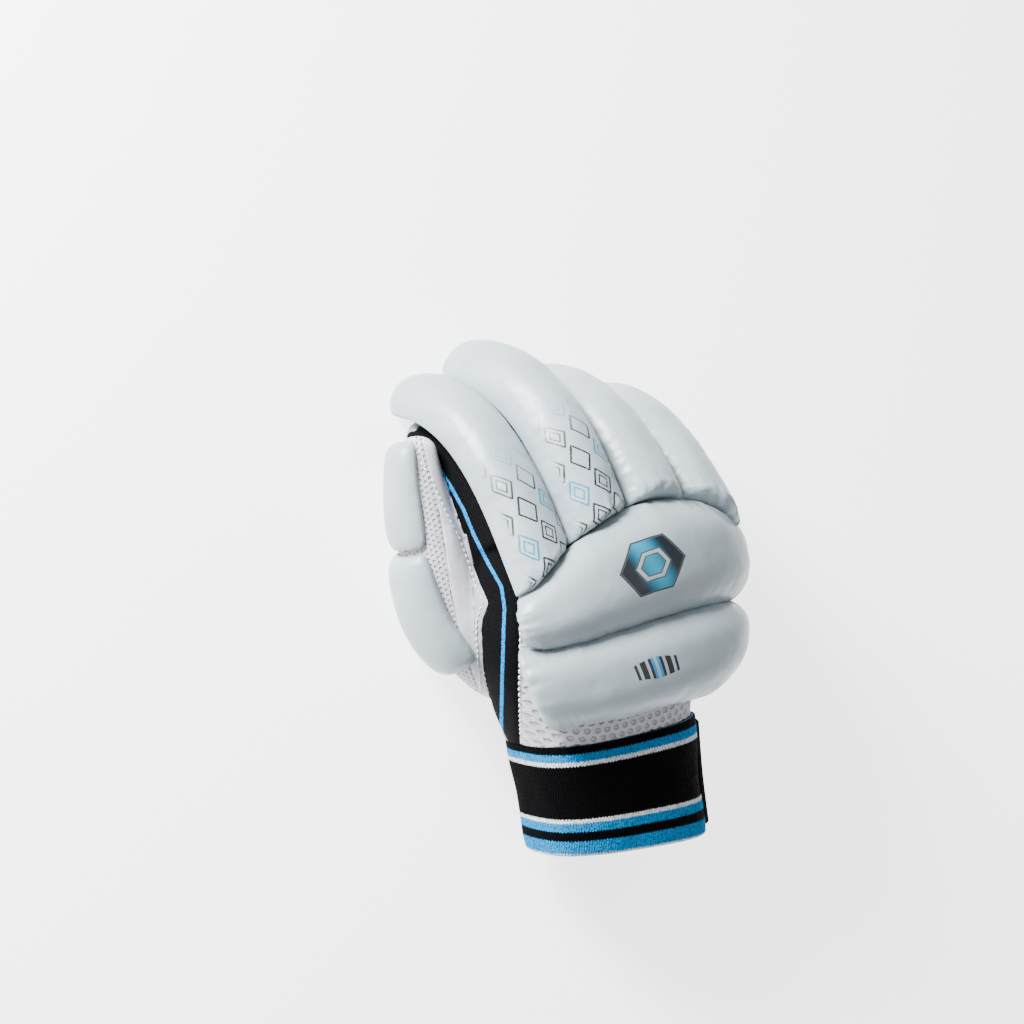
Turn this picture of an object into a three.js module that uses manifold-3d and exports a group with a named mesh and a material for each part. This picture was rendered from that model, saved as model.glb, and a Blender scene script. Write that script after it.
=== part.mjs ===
// Cricket batting glove for the right hand, lying palm down with its fingers curled.
// Millimetres.  X runs from the thumb side to the little finger side, Y towards the fingertips, Z up.
// The floor is z = 0, and the origin ends in the middle of the underside of the bounding box.
import * as THREE from 'three';
import { mergeVertices } from 'three/addons/utils/BufferGeometryUtils.js';
import Module from 'manifold-3d';

const wasm = await Module();
wasm.setup();
const { Manifold, Mesh } = wasm;

// Driving sizes
const GAP = 0.3;                 // clearance between neighbouring pieces
const WALL = 1.6;                // leather and knit wall of the hand and fingers
const CUFF_WALL = 3.0;           // folded terry knit of the cuff
const CUFF_END_Y = -170;         // open end of the cuff
const HEM_Y = -115;              // where the cuff meets the hand
const HEM_PITCH = 0.16;          // how far the hem and the cuff end lean back for each mm of height
const CUFF_LOW_Z = 4.6;          // underside of the cuff above the floor
const WEB_Y = -14;               // front of the hand shell, between the finger bases
const BAND_X = [-55, 53];        // inner edges of the knit bands beside the back panel
const BACK_FRONT_Y = -40;        // front edge of the back panel, under the knuckle roll
const LEAN = THREE.MathUtils.degToRad(8);   // fingers lean: their underside goes to the thumb side
const TURN = THREE.MathUtils.degToRad(4);   // and they point a little to the little finger side
const ROLL_BELLY = 4;            // depth of a finger roll below its seam line
const STALL_HALF_HEIGHT = 11.5;  // finger tube, half of its outer height
const STALL_HALF_WIDTH = 13.2;   // finger tube, half of its outer width
const STALL_SPACE = 0.5;         // between a finger tube and the roll on it
const BEND_SHARES = [0.17, 0.32, 0.46, 0.6, 0.72, 0.83, 0.92];   // stations along a finger
const SEAM_EDGE = 1.2;           // thickness left at the seam of a padded roll, each side
const SEAT = 0.5;                // between a pad and the surface it is sewn on
const ROLL_SPACE = 1;            // between the knuckle roll and the finger rolls
const STRAP_THICK = 1.8;
const TAB_THICK = 3.0;
const HAND_EXP = 0.75;           // how square the hand's section is, 1 is an ellipse
const CUFF_EXP = 0.72;
const CUFF_SIDES = 32;

// Fingers: base of the roll's seam line, pitch at base and tip in degrees, how late the bend comes,
// length of the roll, half width at base and tip, height of the roll above its seam line, and how far
// below the middle of the finger tube its side seam lies
const FINGERS = [
  {
    name: 'index', x: -47, y: -30.5, z: 69.8, from: 15.5, to: 95, late: 2.19, long: 117.5,
    w0: 16.4, w1: 16.2, h: 17, seam: 5,
  },
  {
    name: 'middle', x: -12.8, y: -18.6, z: 77.4, from: 11.5, to: 101.5, late: 1.8, long: 125.7,
    w0: 15.8, w1: 15.2, h: 13.4, seam: 3,
  },
  {
    name: 'ring', x: 21.6, y: -17.5, z: 78.6, from: 21.4, to: 107, late: 1.77, long: 110.3,
    w0: 16, w1: 15, h: 13, seam: 3,
  },
  {
    name: 'little', x: 54.4, y: -30.5, z: 75, from: 25.3, to: 110, late: 2.09, long: 104,
    w0: 14.8, w1: 14, h: 13.4, seam: 3,
  },
];

// Hand shell from the wrist to the webs: y, centre x, centre z, half width, half height, knuckle arch
const HAND = [
  { y: -132, x: -9, z: 34, a: 46, h: 29, arch: 0 },
  { y: -115, x: -8, z: 35.8, a: 46.5, h: 31.2, arch: 0 },
  { y: -92, x: -5, z: 42, a: 58, h: 29, arch: 1 },
  { y: -62, x: -4, z: 50, a: 66, h: 24.5, arch: 4 },
  { y: -34, x: 0, z: 55, a: 65, h: 19.5, arch: 7 },
  { y: -14, x: 3, z: 57, a: 61, h: 15.5, arch: 9 },
];
const HAND_RINGS = [-132, -120, -112, -104, -92, -78, -62, -46, -30, -12];

// Cuff: y, centre x, half width, top height, and how far its thumb side lies ahead of its middle
const CUFF = [
  { y: -170, x: -10, a: 45.5, top: 55, skew: 7 },
  { y: -143, x: -9.5, a: 45.5, top: 61, skew: 5.5 },
  { y: -115, x: -8, a: 46.5, top: 67, skew: 3.5 },
];

// Thumb tube: centre line and outer radius
const THUMB = [
  { x: -24, y: -93, z: 39, r: 14 },
  { x: -45, y: -77, z: 30, r: 18 },
  { x: -65.5, y: -46, z: 26, r: 19 },
  { x: -73, y: -8, z: 29, r: 15.4 },
  { x: -73, y: 22, z: 32, r: 11.2 },
  { x: -70, y: 41, z: 34, r: 8.6 },
];

// Pads along the thumb: share of its length from and to, thickness, spread in degrees about -X
const THUMB_PADS = [
  { name: 'thumb_base_pad', from: 0.32, to: 0.59, thick: 7, low: -60, high: 50 },
  { name: 'thumb_tip_pad', from: 0.605, to: 0.955, thick: 5.2, low: -60, high: 54 },
];

// Padded rolls on the back of the hand, from the thumb side to the little finger side:
// share of the way across, front edge y, rear edge y
const KNUCKLE_ROLL = [
  { s: 0.0, front: -42, rear: -61 },
  { s: 0.1, front: -35.5, rear: -66 },
  { s: 0.22, front: -26.5, rear: -67.5 },
  { s: 0.34, front: -18.5, rear: -67.5 },
  { s: 0.44, front: -15.5, rear: -67.5 },
  { s: 0.6, front: -19.5, rear: -69 },
  { s: 0.78, front: -27.5, rear: -71 },
  { s: 0.93, front: -35, rear: -73 },
  { s: 1.0, front: -39, rear: -72 },
];
const WRIST_ROLL = [
  { s: 0.0, front: -64, rear: -97 },
  { s: 0.08, front: -67.5, rear: -102.5 },
  { s: 0.25, front: -69.2, rear: -106 },
  { s: 0.5, front: -69.6, rear: -109 },
  { s: 0.75, front: -72.4, rear: -111 },
  { s: 0.92, front: -74.5, rear: -110.5 },
  { s: 1.0, front: -76.5, rear: -105 },
];

// Padded rolls: edges, thickness, and the angles of their ends round the hand in degrees
const KNUCKLE = { table: KNUCKLE_ROLL, thick: 21, from: 139, to: 14 };
const WRIST = { table: WRIST_ROLL, thick: 20, from: 146, to: 12 };

// Colours from the photograph
const LEATHER = { color: 0xdde2e4, roughness: 0.42, metalness: 0 };
const PALM_LEATHER = { color: 0xcdd2d4, roughness: 0.6, metalness: 0 };
const MESH_CLOTH = { color: 0xe2dfe8, roughness: 0.9, metalness: 0 };
const BLACK_KNIT = { color: 0x0e0e10, roughness: 0.85, metalness: 0 };
const CUFF_KNIT = { color: 0x101214, roughness: 0.95, metalness: 0 };
const STRAP_BLACK = { color: 0x17181a, roughness: 0.6, metalness: 0 };
const TAB_RUBBER = { color: 0x141518, roughness: 0.45, metalness: 0 };

// Smooth curve through the rows of a table whose first column is the key
function smooth(rows, key, column, at) {
  const last = rows.length - 1;
  let i = 0;
  while (i < last - 1 && at > rows[i + 1][key]) {
    i += 1;
  }
  const p1 = rows[i];
  const p2 = rows[i + 1];
  const p0 = rows[Math.max(i - 1, 0)];
  const p3 = rows[Math.min(i + 2, last)];
  const width = p2[key] - p1[key];
  const t = (at - p1[key]) / width;
  const slope = (q, r) => (r[column] - q[column]) / Math.max(r[key] - q[key], 1e-9);
  const m1 = slope(p0, p2) * width;
  const m2 = slope(p1, p3) * width;
  const a = 2 * t ** 3 - 3 * t ** 2 + 1;
  const b = t ** 3 - 2 * t ** 2 + t;
  const c = -2 * t ** 3 + 3 * t ** 2;
  const d = t ** 3 - t ** 2;
  return a * p1[column] + b * m1 + c * p2[column] + d * m2;
}

function range(count, from, to) {
  return Array.from({ length: count + 1 }, (_, i) => from + (to - from) * i / count);
}

// Closed solid from triangles, turned outside out where it has to be
function solid(points, faces) {
  const geometry = new THREE.BufferGeometry();
  geometry.setAttribute('position', new THREE.Float32BufferAttribute(points.flat(), 3));
  geometry.setIndex(faces.flat());
  const merged = mergeVertices(geometry, 1e-5);
  const p = merged.attributes.position.array;
  const index = Array.from(merged.index.array);
  let volume = 0;
  for (let i = 0; i < index.length; i += 3) {
    const a = new THREE.Vector3().fromArray(p, index[i] * 3);
    const b = new THREE.Vector3().fromArray(p, index[i + 1] * 3);
    const c = new THREE.Vector3().fromArray(p, index[i + 2] * 3);
    volume += a.dot(b.cross(c));
  }
  if (volume < 0) {
    for (let i = 0; i < index.length; i += 3) {
      [index[i], index[i + 1]] = [index[i + 1], index[i]];
    }
  }
  const vertProperties = new Float32Array(p);
  return new Manifold(new Mesh({ numProp: 3, vertProperties, triVerts: new Uint32Array(index) }));
}

// Tube closed at both ends from rings of points
function tube(rings) {
  const n = rings[0].length;
  const points = rings.flat();
  const faces = [];
  for (let j = 0; j < rings.length - 1; j += 1) {
    for (let i = 0; i < n; i += 1) {
      const a = j * n + i;
      const b = j * n + (i + 1) % n;
      faces.push([a, b, b + n], [a, b + n, a + n]);
    }
  }
  [0, rings.length - 1].forEach((j) => {
    const centre = points.length;
    const sum = rings[j].reduce((acc, p) => [acc[0] + p[0], acc[1] + p[1], acc[2] + p[2]], [0, 0, 0]);
    points.push(sum.map((value) => value / n));
    for (let i = 0; i < n; i += 1) {
      const a = j * n + i;
      const b = j * n + (i + 1) % n;
      faces.push(j === 0 ? [centre, b, a] : [centre, a, b]);
    }
  });
  return solid(points, faces);
}

// Closed slab between two grids of points with the same rows and columns
function slab(top, bottom) {
  const rows = top.length;
  const cols = top[0].length;
  const points = [...top.flat(), ...bottom.flat()];
  const size = rows * cols;
  const faces = [];
  for (let j = 0; j < rows - 1; j += 1) {
    for (let i = 0; i < cols - 1; i += 1) {
      const a = j * cols + i;
      faces.push([a, a + 1, a + cols + 1], [a, a + cols + 1, a + cols]);
      const b = size + a;
      faces.push([b, b + cols + 1, b + 1], [b, b + cols, b + cols + 1]);
    }
  }
  const edge = [];
  for (let i = 0; i < cols - 1; i += 1) {
    edge.push([i + 1, i]);
    edge.push([(rows - 1) * cols + i, (rows - 1) * cols + i + 1]);
  }
  for (let j = 0; j < rows - 1; j += 1) {
    edge.push([j * cols, (j + 1) * cols]);
    edge.push([(j + 1) * cols + cols - 1, j * cols + cols - 1]);
  }
  edge.forEach(([a, b]) => faces.push([a, b, size + b], [a, size + b, size + a]));
  return solid(points, faces);
}

// Point of the hand's section at a height along the hand and an angle, moved out by a distance
function handPoint(y, angle, out) {
  const row = Math.min(y, WEB_Y);
  const [x0, z0, a, h, arch] = ['x', 'z', 'a', 'h', 'arch'].map((column) => smooth(HAND, 'y', column, row));
  const c = Math.cos(angle);
  const s = Math.sin(angle);
  const dx = (a + out) * Math.sign(c) * Math.abs(c) ** HAND_EXP;
  const dz = (h + out) * Math.sign(s) * Math.abs(s) ** HAND_EXP;
  return [x0 + dx, y, z0 + dz - arch * (dx / a) ** 2];
}

function cuffPoint(y, angle, out) {
  const [x0, a, top, skew] = ['x', 'a', 'top', 'skew'].map((column) => smooth(CUFF, 'y', column, y));
  const h = (top - CUFF_LOW_Z) / 2;
  const c = Math.cos(angle);
  const s = Math.sin(angle);
  const z = CUFF_LOW_Z + h + (h + out) * Math.sign(s) * Math.abs(s) ** CUFF_EXP;
  const dx = (a + out) * Math.sign(c) * Math.abs(c) ** CUFF_EXP;
  return [x0 + dx, y - HEM_PITCH * (z - CUFF_LOW_Z - h) - skew * dx / a, z];
}

// Front edge of the knuckle roll at a distance across the hand
const knuckleEdge = range(24, 0, 1).map((s) => {
  const y = smooth(KNUCKLE_ROLL, 's', 'front', s);
  const angle = THREE.MathUtils.degToRad(KNUCKLE.from + (KNUCKLE.to - KNUCKLE.from) * s);
  return { x: handPoint(y, angle, 5)[0], y };
});

function knuckleFront(x) {
  return smooth(knuckleEdge, 'x', 'y', THREE.MathUtils.clamp(x, knuckleEdge[0].x, knuckleEdge.at(-1).x));
}

function ring(count, at) {
  return Array.from({ length: count }, (_, i) => at(2 * Math.PI * i / count));
}

function handSolid(out) {
  const rings = HAND_RINGS.map((y) => ring(24, (angle) => handPoint(y, angle, out)));
  const centre = [3, 0, 56];
  const end = rings.at(-1);
  [[0.9, -8], [0.7, -6.5]].forEach(([scale, y]) => {
    rings.push(end.map((p) => [
      centre[0] + (p[0] - centre[0]) * scale,
      y + Math.min(out, 0),
      centre[2] + (p[2] - centre[2]) * scale,
    ]));
  });
  return tube(rings);
}

// Centre line of a finger roll, with its frame, in small steps
function fingerCurve(finger) {
  const steps = 240;
  const ahead = new THREE.Vector3(Math.sin(TURN), Math.cos(TURN), 0);
  const level = new THREE.Vector3(Math.cos(TURN), -Math.sin(TURN), 0);
  const across = level.multiplyScalar(Math.cos(LEAN)).add(new THREE.Vector3(0, 0, -Math.sin(LEAN)));
  const above = new THREE.Vector3().crossVectors(across, ahead);
  const path = [];
  const point = new THREE.Vector3(finger.x, finger.y, finger.z);
  const ds = finger.long / steps;
  for (let i = 0; i <= steps; i += 1) {
    const bend = (finger.to - finger.from) * (i / steps) ** finger.late;
    const pitch = THREE.MathUtils.degToRad(finger.from + bend);
    const along = ahead.clone().multiplyScalar(Math.cos(pitch)).addScaledVector(above, -Math.sin(pitch));
    const out = ahead.clone().multiplyScalar(Math.sin(pitch)).addScaledVector(above, Math.cos(pitch));
    path.push({ point: point.clone(), along, out });
    point.addScaledVector(along, ds);
  }
  return (s) => {
    const t = Math.min(Math.max(s / ds, 0), steps);
    const i = Math.min(Math.floor(t), steps - 1);
    const a = path[i];
    const b = path[i + 1];
    const mix = (key) => a[key].clone().lerp(b[key], t - i);
    const base = mix('point');
    if (s < 0) {
      base.addScaledVector(path[0].along, s);
    }
    return (side, lift) => base.clone()
      .addScaledVector(across, side)
      .addScaledVector(mix('out').normalize(), lift)
      .toArray();
  };
}

// Padded roll of a finger: domed above its seam, shallow below, rounded at the tip
function fingerRoll(finger, grow) {
  const at = fingerCurve(finger);
  const stations = [0, 0.03, ...BEND_SHARES, 0.975, 1].map((share) => share * finger.long);
  const across = range(8, -1, 1).map((t) => Math.sin(t * Math.PI / 2));
  const top = [];
  const bottom = [];
  stations.forEach((s) => {
    const share = s / finger.long;
    const nose = Math.min((finger.long - s) / 15, 1);
    const heel = Math.min(s / 5, 1);
    const round = Math.sqrt(Math.max(1 - (1 - nose) ** 2, 0));
    const start = Math.sqrt(Math.max(1 - (1 - heel) ** 2, 0));
    const w = (finger.w0 + (finger.w1 - finger.w0) * share) * (0.22 + 0.78 * round) + grow;
    const h = finger.h * (0.25 + 0.75 * round) * (0.5 + 0.5 * start) + grow;
    const reach = s === 0 ? -grow : s === finger.long ? s + grow : s;
    const fade = Math.max(1 - s / 40, 0);
    const shift = across.map((u) => fade * (knuckleFront(finger.x + u * w) + ROLL_SPACE - finger.y));
    const bulge = across.map((u) => Math.sqrt(1 - Math.abs(u) ** 2.4));
    top.push(across.map((u, i) => at(reach + shift[i])(u * w, SEAM_EDGE + (h - SEAM_EDGE) * bulge[i])));
    const belly = (ROLL_BELLY - SEAM_EDGE) * round;
    bottom.push(across.map((u, i) => at(reach + shift[i])(u * w, -grow - SEAM_EDGE - belly * bulge[i])));
  });
  return slab(top, bottom);
}

// Tube that holds a finger, under its roll; out is negative for its hollow
function stall(finger, out) {
  const at = fingerCurve(finger);
  const centre = -(ROLL_BELLY + STALL_SPACE + STALL_HALF_HEIGHT);
  const end = finger.long - 4 + Math.min(out, 0);
  const start = -13.5 - finger.y;
  const common = BEND_SHARES.map((share) => share * finger.long).filter((s) => s > start + 4);
  const stations = [start, ...common, end - 2, end];
  const rings = stations.map((s) => {
    const nose = Math.min((end - s) / 11, 1);
    const round = 0.25 + 0.75 * Math.sqrt(Math.max(1 - (1 - nose) ** 2, 0));
    const narrow = 1 - 0.1 * s / finger.long;
    const place = at(s);
    return ring(14, (angle) => {
      const c = Math.cos(angle);
      const q = Math.sin(angle);
      return place(
        (STALL_HALF_WIDTH * narrow + out) * round * Math.sign(c) * Math.abs(c) ** 0.8,
        centre + (STALL_HALF_HEIGHT + out) * round * Math.sign(q) * Math.abs(q) ** 0.8,
      );
    });
  });
  return tube(rings);
}

// Space on the palm side of a finger's side seam
function frontSpace(finger, more) {
  const at = fingerCurve(finger);
  const seam = -(ROLL_BELLY + STALL_SPACE + STALL_HALF_HEIGHT) - finger.seam + more;
  const start = WEB_Y - finger.y;
  const common = BEND_SHARES.map((share) => share * finger.long).filter((s) => s > start + 4);
  const stations = [start - more, ...common, finger.long + 3];
  const side = STALL_HALF_WIDTH + 1.6;
  const low = seam - 15 - more;
  return tube(stations.map((s) => {
    const place = at(s);
    return [place(-side, low), place(side, low), place(side, seam), place(-side, seam)];
  }));
}

// Space under the side seams of the hand
function palmSpace(more) {
  const ys = [-140, -115, -92, -62, -34, -2 + more];
  return tube(ys.map((y) => {
    const z = smooth(HAND, 'y', 'z', Math.min(y, WEB_Y)) - 4 + more;
    return [[-200, y, -60], [200, y, -60], [200, y, z], [-200, y, z]];
  }));
}

// Block between two corners, leaning about the Y axis and then turned about the Z axis
function block(x0, x1, y0, y1, z0, z1, lean, turn) {
  const geometry = new THREE.BoxGeometry(x1 - x0, y1 - y0, z1 - z0);
  geometry.translate((x0 + x1) / 2, (y0 + y1) / 2, (z0 + z1) / 2);
  geometry.rotateY(lean);
  geometry.rotateZ(-turn);
  const position = Array.from(geometry.attributes.position.array);
  const points = range(position.length / 3 - 1, 0, position.length / 3 - 1)
    .map((i) => position.slice(3 * i, 3 * i + 3));
  return solid(points, Array.from(geometry.index.array));
}

// Space in front of the hem, whose plane leans and is askew as the cuff's end is
function aheadOfHem(y) {
  const hem = CUFF.at(-1);
  const middle = CUFF_LOW_Z + (hem.top - CUFF_LOW_Z) / 2;
  const lean = (x, z) => y - HEM_PITCH * (z - middle) - hem.skew * (x - hem.x) / hem.a;
  const side = (x) => [[x, lean(x, -200), -200], [x, 400, -200], [x, 400, 300], [x, lean(x, 300), 300]];
  return tube([side(-300), side(300)]);
}

// Centre line of the thumb
const thumbLine = new THREE.CatmullRomCurve3(THUMB.map((row) => new THREE.Vector3(row.x, row.y, row.z)));
const thumbKeys = THUMB.map((row, i) => ({ key: i / (THUMB.length - 1), r: row.r }));

function thumbFrame(share) {
  const point = thumbLine.getPoint(share);
  const along = thumbLine.getTangent(share);
  const outward = new THREE.Vector3(-1, 0, 0).addScaledVector(along, along.x).normalize();
  const upward = new THREE.Vector3().crossVectors(outward, along).normalize();
  if (upward.z < 0) {
    upward.negate();
  }
  const radius = smooth(thumbKeys, 'key', 'r', share);
  return (angle, distance) => point.clone()
    .addScaledVector(outward, Math.cos(angle) * distance(radius))
    .addScaledVector(upward, Math.sin(angle) * distance(radius))
    .toArray();
}

// How much of its radius the thumb keeps towards its round tip
function thumbRound(share, end) {
  const nose = Math.min((end - share) / 0.065, 1);
  return 0.2 + 0.8 * Math.sqrt(Math.max(1 - (1 - nose) ** 2, 0));
}

function thumbTube(out) {
  const end = 1 + Math.min(out, 0) * 0.01;
  const shares = range(12, 0, 0.935).concat([0.96, 0.985, 1].map((share) => share * end));
  const rings = shares.map((share) => {
    const round = thumbRound(share, end);
    const place = thumbFrame(share);
    return ring(16, (angle) => place(angle, (radius) => (radius + out) * round));
  });
  return tube(rings);
}

function thumbPad(pad) {
  const shares = range(8, -1, 1);
  const angles = range(6, THREE.MathUtils.degToRad(pad.low), THREE.MathUtils.degToRad(pad.high));
  const layer = (lift) => shares.map((v) => {
    const share = pad.from + (pad.to - pad.from) * (Math.sin(v * Math.PI / 2) + 1) / 2;
    const place = thumbFrame(share);
    const round = thumbRound(share, 1);
    const along = 1 - Math.abs(Math.sin(v * Math.PI / 2)) ** 4;
    return angles.map((angle, i) => {
      const dome = Math.sqrt(Math.max(1 - Math.abs(i / 3 - 1) ** 3, 0) * Math.max(along, 0));
      const rise = lift ? SEAT + 2 * SEAM_EDGE + (pad.thick - 2 * SEAM_EDGE) * dome : SEAT;
      return place(angle * (0.74 + 0.26 * Math.sqrt(along)), (radius) => radius * round + rise);
    });
  });
  return slab(layer(true), layer(false));
}

// Padded roll across the back of the hand
function backRoll({ table, thick, from, to }) {
  const across = range(12, 0, 1);
  const layer = (lift) => across.map((s) => {
    const angle = THREE.MathUtils.degToRad(from + (to - from) * s);
    const front = smooth(table, 's', 'front', s);
    const rear = smooth(table, 's', 'rear', s);
    const u = 2 * s - 1;
    return range(6, -1, 1).map((t) => {
      const v = Math.sin(t * Math.PI / 2);
      const y = rear + (front - rear) * (v + 1) / 2;
      const dome = Math.sqrt(Math.max(1 - Math.abs(u) ** 9, 0) * Math.max(1 - Math.abs(v) ** 2.6, 0));
      const rise = lift ? SEAT + 2 * SEAM_EDGE + (thick - 2 * SEAM_EDGE) * dome : SEAT;
      return handPoint(y, angle, rise);
    });
  });
  return slab(layer(true), layer(false));
}

// Band that lies on the cuff between two angles, its underside cut flat by the floor
function cuffBand(shape, inner, outer) {
  const layer = (out) => shape.map(({ angle, half, mid }) => range(2, -1, 1).map((t) => {
    const point = cuffPoint(mid + half * t, THREE.MathUtils.degToRad(angle), out);
    return [point[0], point[1], Math.max(point[2], 0)];
  }));
  return slab(layer(outer), layer(inner));
}

// Hulls and hollows
const handOuter = handSolid(0);
const handInner = handSolid(-WALL);
const stallsOuter = FINGERS.map((finger) => stall(finger, 0));
const stallsInner = FINGERS.map((finger) => stall(finger, -WALL));
const thumbOuter = thumbTube(0);
const thumbInner = thumbTube(-WALL);
const rollRoom = FINGERS.map((finger) => fingerRoll(finger, GAP));
const hull = Manifold.union([handOuter, ...stallsOuter]).subtract(Manifold.union(rollRoom));
const hollow = Manifold.union([handInner, ...stallsInner]).subtract(fingerRoll(FINGERS[0], GAP + WALL));
const shell = hull.subtract(hollow).subtract(thumbInner).intersect(aheadOfHem(HEM_Y + GAP));

const half = GAP / 2;
const fronts = (more) => FINGERS.map((finger) => frontSpace(finger, more));
const below = (more) => Manifold.union([palmSpace(more), ...fronts(more)]);
const palm = shell.intersect(below(-half));
const upper = shell.subtract(below(half));
const backSpace = (more) => (
  block(BAND_X[0] - more, BAND_X[1] + more, -200, BACK_FRONT_Y + more, 0, 200, 0, 0)
);
const backPanel = upper.intersect(backSpace(-half));
const knit = upper.subtract(backSpace(half));

// Slices between the fingers, leaning as the fingers do
const places = FINGERS.map((finger) => (
  (finger.x * Math.cos(TURN) - finger.y * Math.sin(TURN)) * Math.cos(LEAN) - finger.z * Math.sin(LEAN)
));
const cuts = [-300, ...places.slice(1).map((place, i) => (place + places[i]) / 2), 300];
const slices = FINGERS.map((finger, i) => (
  knit.intersect(block(cuts[i] + half, cuts[i + 1] - half, -300, 300, -300, 300, LEAN, TURN))
));

const thumb = thumbOuter.subtract(thumbInner).subtract(handSolid(GAP));
const cuffYs = range(2, CUFF_END_Y, HEM_Y);
const cuffOuter = tube(cuffYs.map((y) => ring(CUFF_SIDES, (angle) => cuffPoint(y, angle, 0))));
const holeYs = range(2, CUFF_END_Y - 3, HEM_Y + 3);
const cuffHole = tube(holeYs.map((y) => ring(CUFF_SIDES, (angle) => cuffPoint(y, angle, -CUFF_WALL))));
const cuff = cuffOuter.subtract(cuffHole);

// The bands' stations are the cuff's own facets
const facet = (count) => -count * 360 / CUFF_SIDES;
const strapRows = [24.5, 24.5, 24.5, 24.5, 24, 23.5, 22.5, 21.5, 20.5, 19.5, 18.5, 17.5]
  .map((width, i) => ({ angle: facet(i - 2), half: width, mid: -142.5 }));
const strap = cuffBand(strapRows, GAP, GAP + STRAP_THICK);
const tabRows = [15, 19.5, 20.5, 20.5, 20.5, 17.5, 9]
  .map((width, i) => ({ angle: facet(i + 5), half: width, mid: -142.5 }));
const tab = cuffBand(tabRows, 2 * GAP + STRAP_THICK, 2 * GAP + STRAP_THICK + TAB_THICK);

// The largest piece of a cut, without crumbs
function mainPiece(piece) {
  return piece.decompose().sort((a, b) => b.volume() - a.volume())[0].simplify(0.06);
}

const glove = new THREE.Group();
function add(name, piece, look) {
  const mesh = piece.getMesh();
  const geometry = new THREE.BufferGeometry();
  geometry.setAttribute('position', new THREE.Float32BufferAttribute(mesh.vertProperties, 3));
  geometry.setIndex(Array.from(mesh.triVerts));
  geometry.computeVertexNormals();
  const node = new THREE.Mesh(geometry, new THREE.MeshStandardMaterial(look));
  node.name = name;
  glove.add(node);
}

add('palm', mainPiece(palm), PALM_LEATHER);
add('back_panel', mainPiece(backPanel), MESH_CLOTH);
FINGERS.forEach((finger, i) => {
  add(`${finger.name}_gusset`, mainPiece(slices[i]), BLACK_KNIT);
  add(`${finger.name}_roll`, fingerRoll(finger, 0), LEATHER);
});
add('thumb_sleeve', mainPiece(thumb), MESH_CLOTH);
THUMB_PADS.forEach((pad) => add(pad.name, thumbPad(pad), LEATHER));
add('knuckle_roll', backRoll(KNUCKLE).subtract(Manifold.union(rollRoom)), LEATHER);
add('wrist_roll', backRoll(WRIST), LEATHER);
add('cuff', cuff, CUFF_KNIT);
add('wrist_strap', strap, STRAP_BLACK);
add('strap_tab', tab, TAB_RUBBER);

const bounds = new THREE.Box3().setFromObject(glove);
const middle = bounds.getCenter(new THREE.Vector3());
glove.position.set(-middle.x, -middle.y, -bounds.min.z);

export default glove;
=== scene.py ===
from math import sin, cos, pi, radians
import bpy
import numpy as np
from mathutils import Matrix, Vector, noise
from mathutils.bvhtree import BVHTree


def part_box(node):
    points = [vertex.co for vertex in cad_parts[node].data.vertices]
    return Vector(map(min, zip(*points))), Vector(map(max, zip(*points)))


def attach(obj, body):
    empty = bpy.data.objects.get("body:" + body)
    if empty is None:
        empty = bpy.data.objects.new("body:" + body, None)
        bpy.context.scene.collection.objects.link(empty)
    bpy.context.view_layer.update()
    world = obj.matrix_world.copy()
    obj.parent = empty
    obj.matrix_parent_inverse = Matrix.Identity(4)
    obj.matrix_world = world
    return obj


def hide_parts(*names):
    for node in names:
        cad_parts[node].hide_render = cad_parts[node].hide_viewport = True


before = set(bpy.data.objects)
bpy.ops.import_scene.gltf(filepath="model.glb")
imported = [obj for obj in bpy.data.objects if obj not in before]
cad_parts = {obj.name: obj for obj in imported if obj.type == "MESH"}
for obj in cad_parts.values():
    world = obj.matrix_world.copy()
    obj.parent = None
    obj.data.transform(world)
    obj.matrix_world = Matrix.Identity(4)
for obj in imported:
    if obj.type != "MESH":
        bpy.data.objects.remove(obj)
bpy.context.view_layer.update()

# ---- sizes, in millimetres, as in the source
GAP, CUFF_WALL = 0.3, 3.0
CUFF_END_Y, HEM_Y, HEM_PITCH, CUFF_LOW_Z = -170, -115, 0.16, 4.6
WEB_Y, BACK_FRONT_Y, BAND_RIGHT_X = -14, -40, 53
LEAN, TURN = radians(8), radians(4)
ROLL_BELLY, STALL_HALF_HEIGHT, STALL_HALF_WIDTH, STALL_SPACE = 4, 11.5, 13.2, 0.5
SEAT, ROLL_SPACE = 0.5, 1
STRAP_THICK, TAB_THICK, STRAP_Y, STRAP_STEP = 1.8, 3.0, -142.5, 11.25
CUFF_HIGH, SKIN_THICK, TIP_CAP = 55, 1.4, 15
# degrees round the hand where each roll starts and stops, and its thickness
KNUCKLE_ARC, WRIST_ARC = (139, 14, 21), (144, 12, 20)
STALL_MID = -16
HAND_EXP, CUFF_EXP = 0.75, 0.72
# name, x, y, z, pitch from, pitch to, late, length, half width at base, at tip, height, seam depth
FINGERS = [
    ("index", -47, -30.5, 69.8, 15.5, 95, 2.19, 117.5, 16.4, 16.2, 17, 5),
    ("middle", -12.8, -18.6, 77.4, 11.5, 101.5, 1.8, 125.7, 15.8, 15.2, 13.4, 3),
    ("ring", 21.6, -17.5, 78.6, 21.4, 107, 1.77, 110.3, 16, 15, 13, 3),
    ("little", 54.4, -30.5, 75, 25.3, 110, 2.09, 104, 14.8, 14, 13.4, 3),
]
# y, centre x, centre z, half width, half height, arch
HAND = np.array([
    (-132, -9, 34, 46, 29, 0), (-115, -8, 35.8, 46.5, 31.2, 0), (-92, -5, 42, 58, 29, 1),
    (-62, -4, 50, 66, 24.5, 4), (-34, 0, 55, 65, 19.5, 7), (-14, 3, 57, 61, 15.5, 9)], float)
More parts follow.
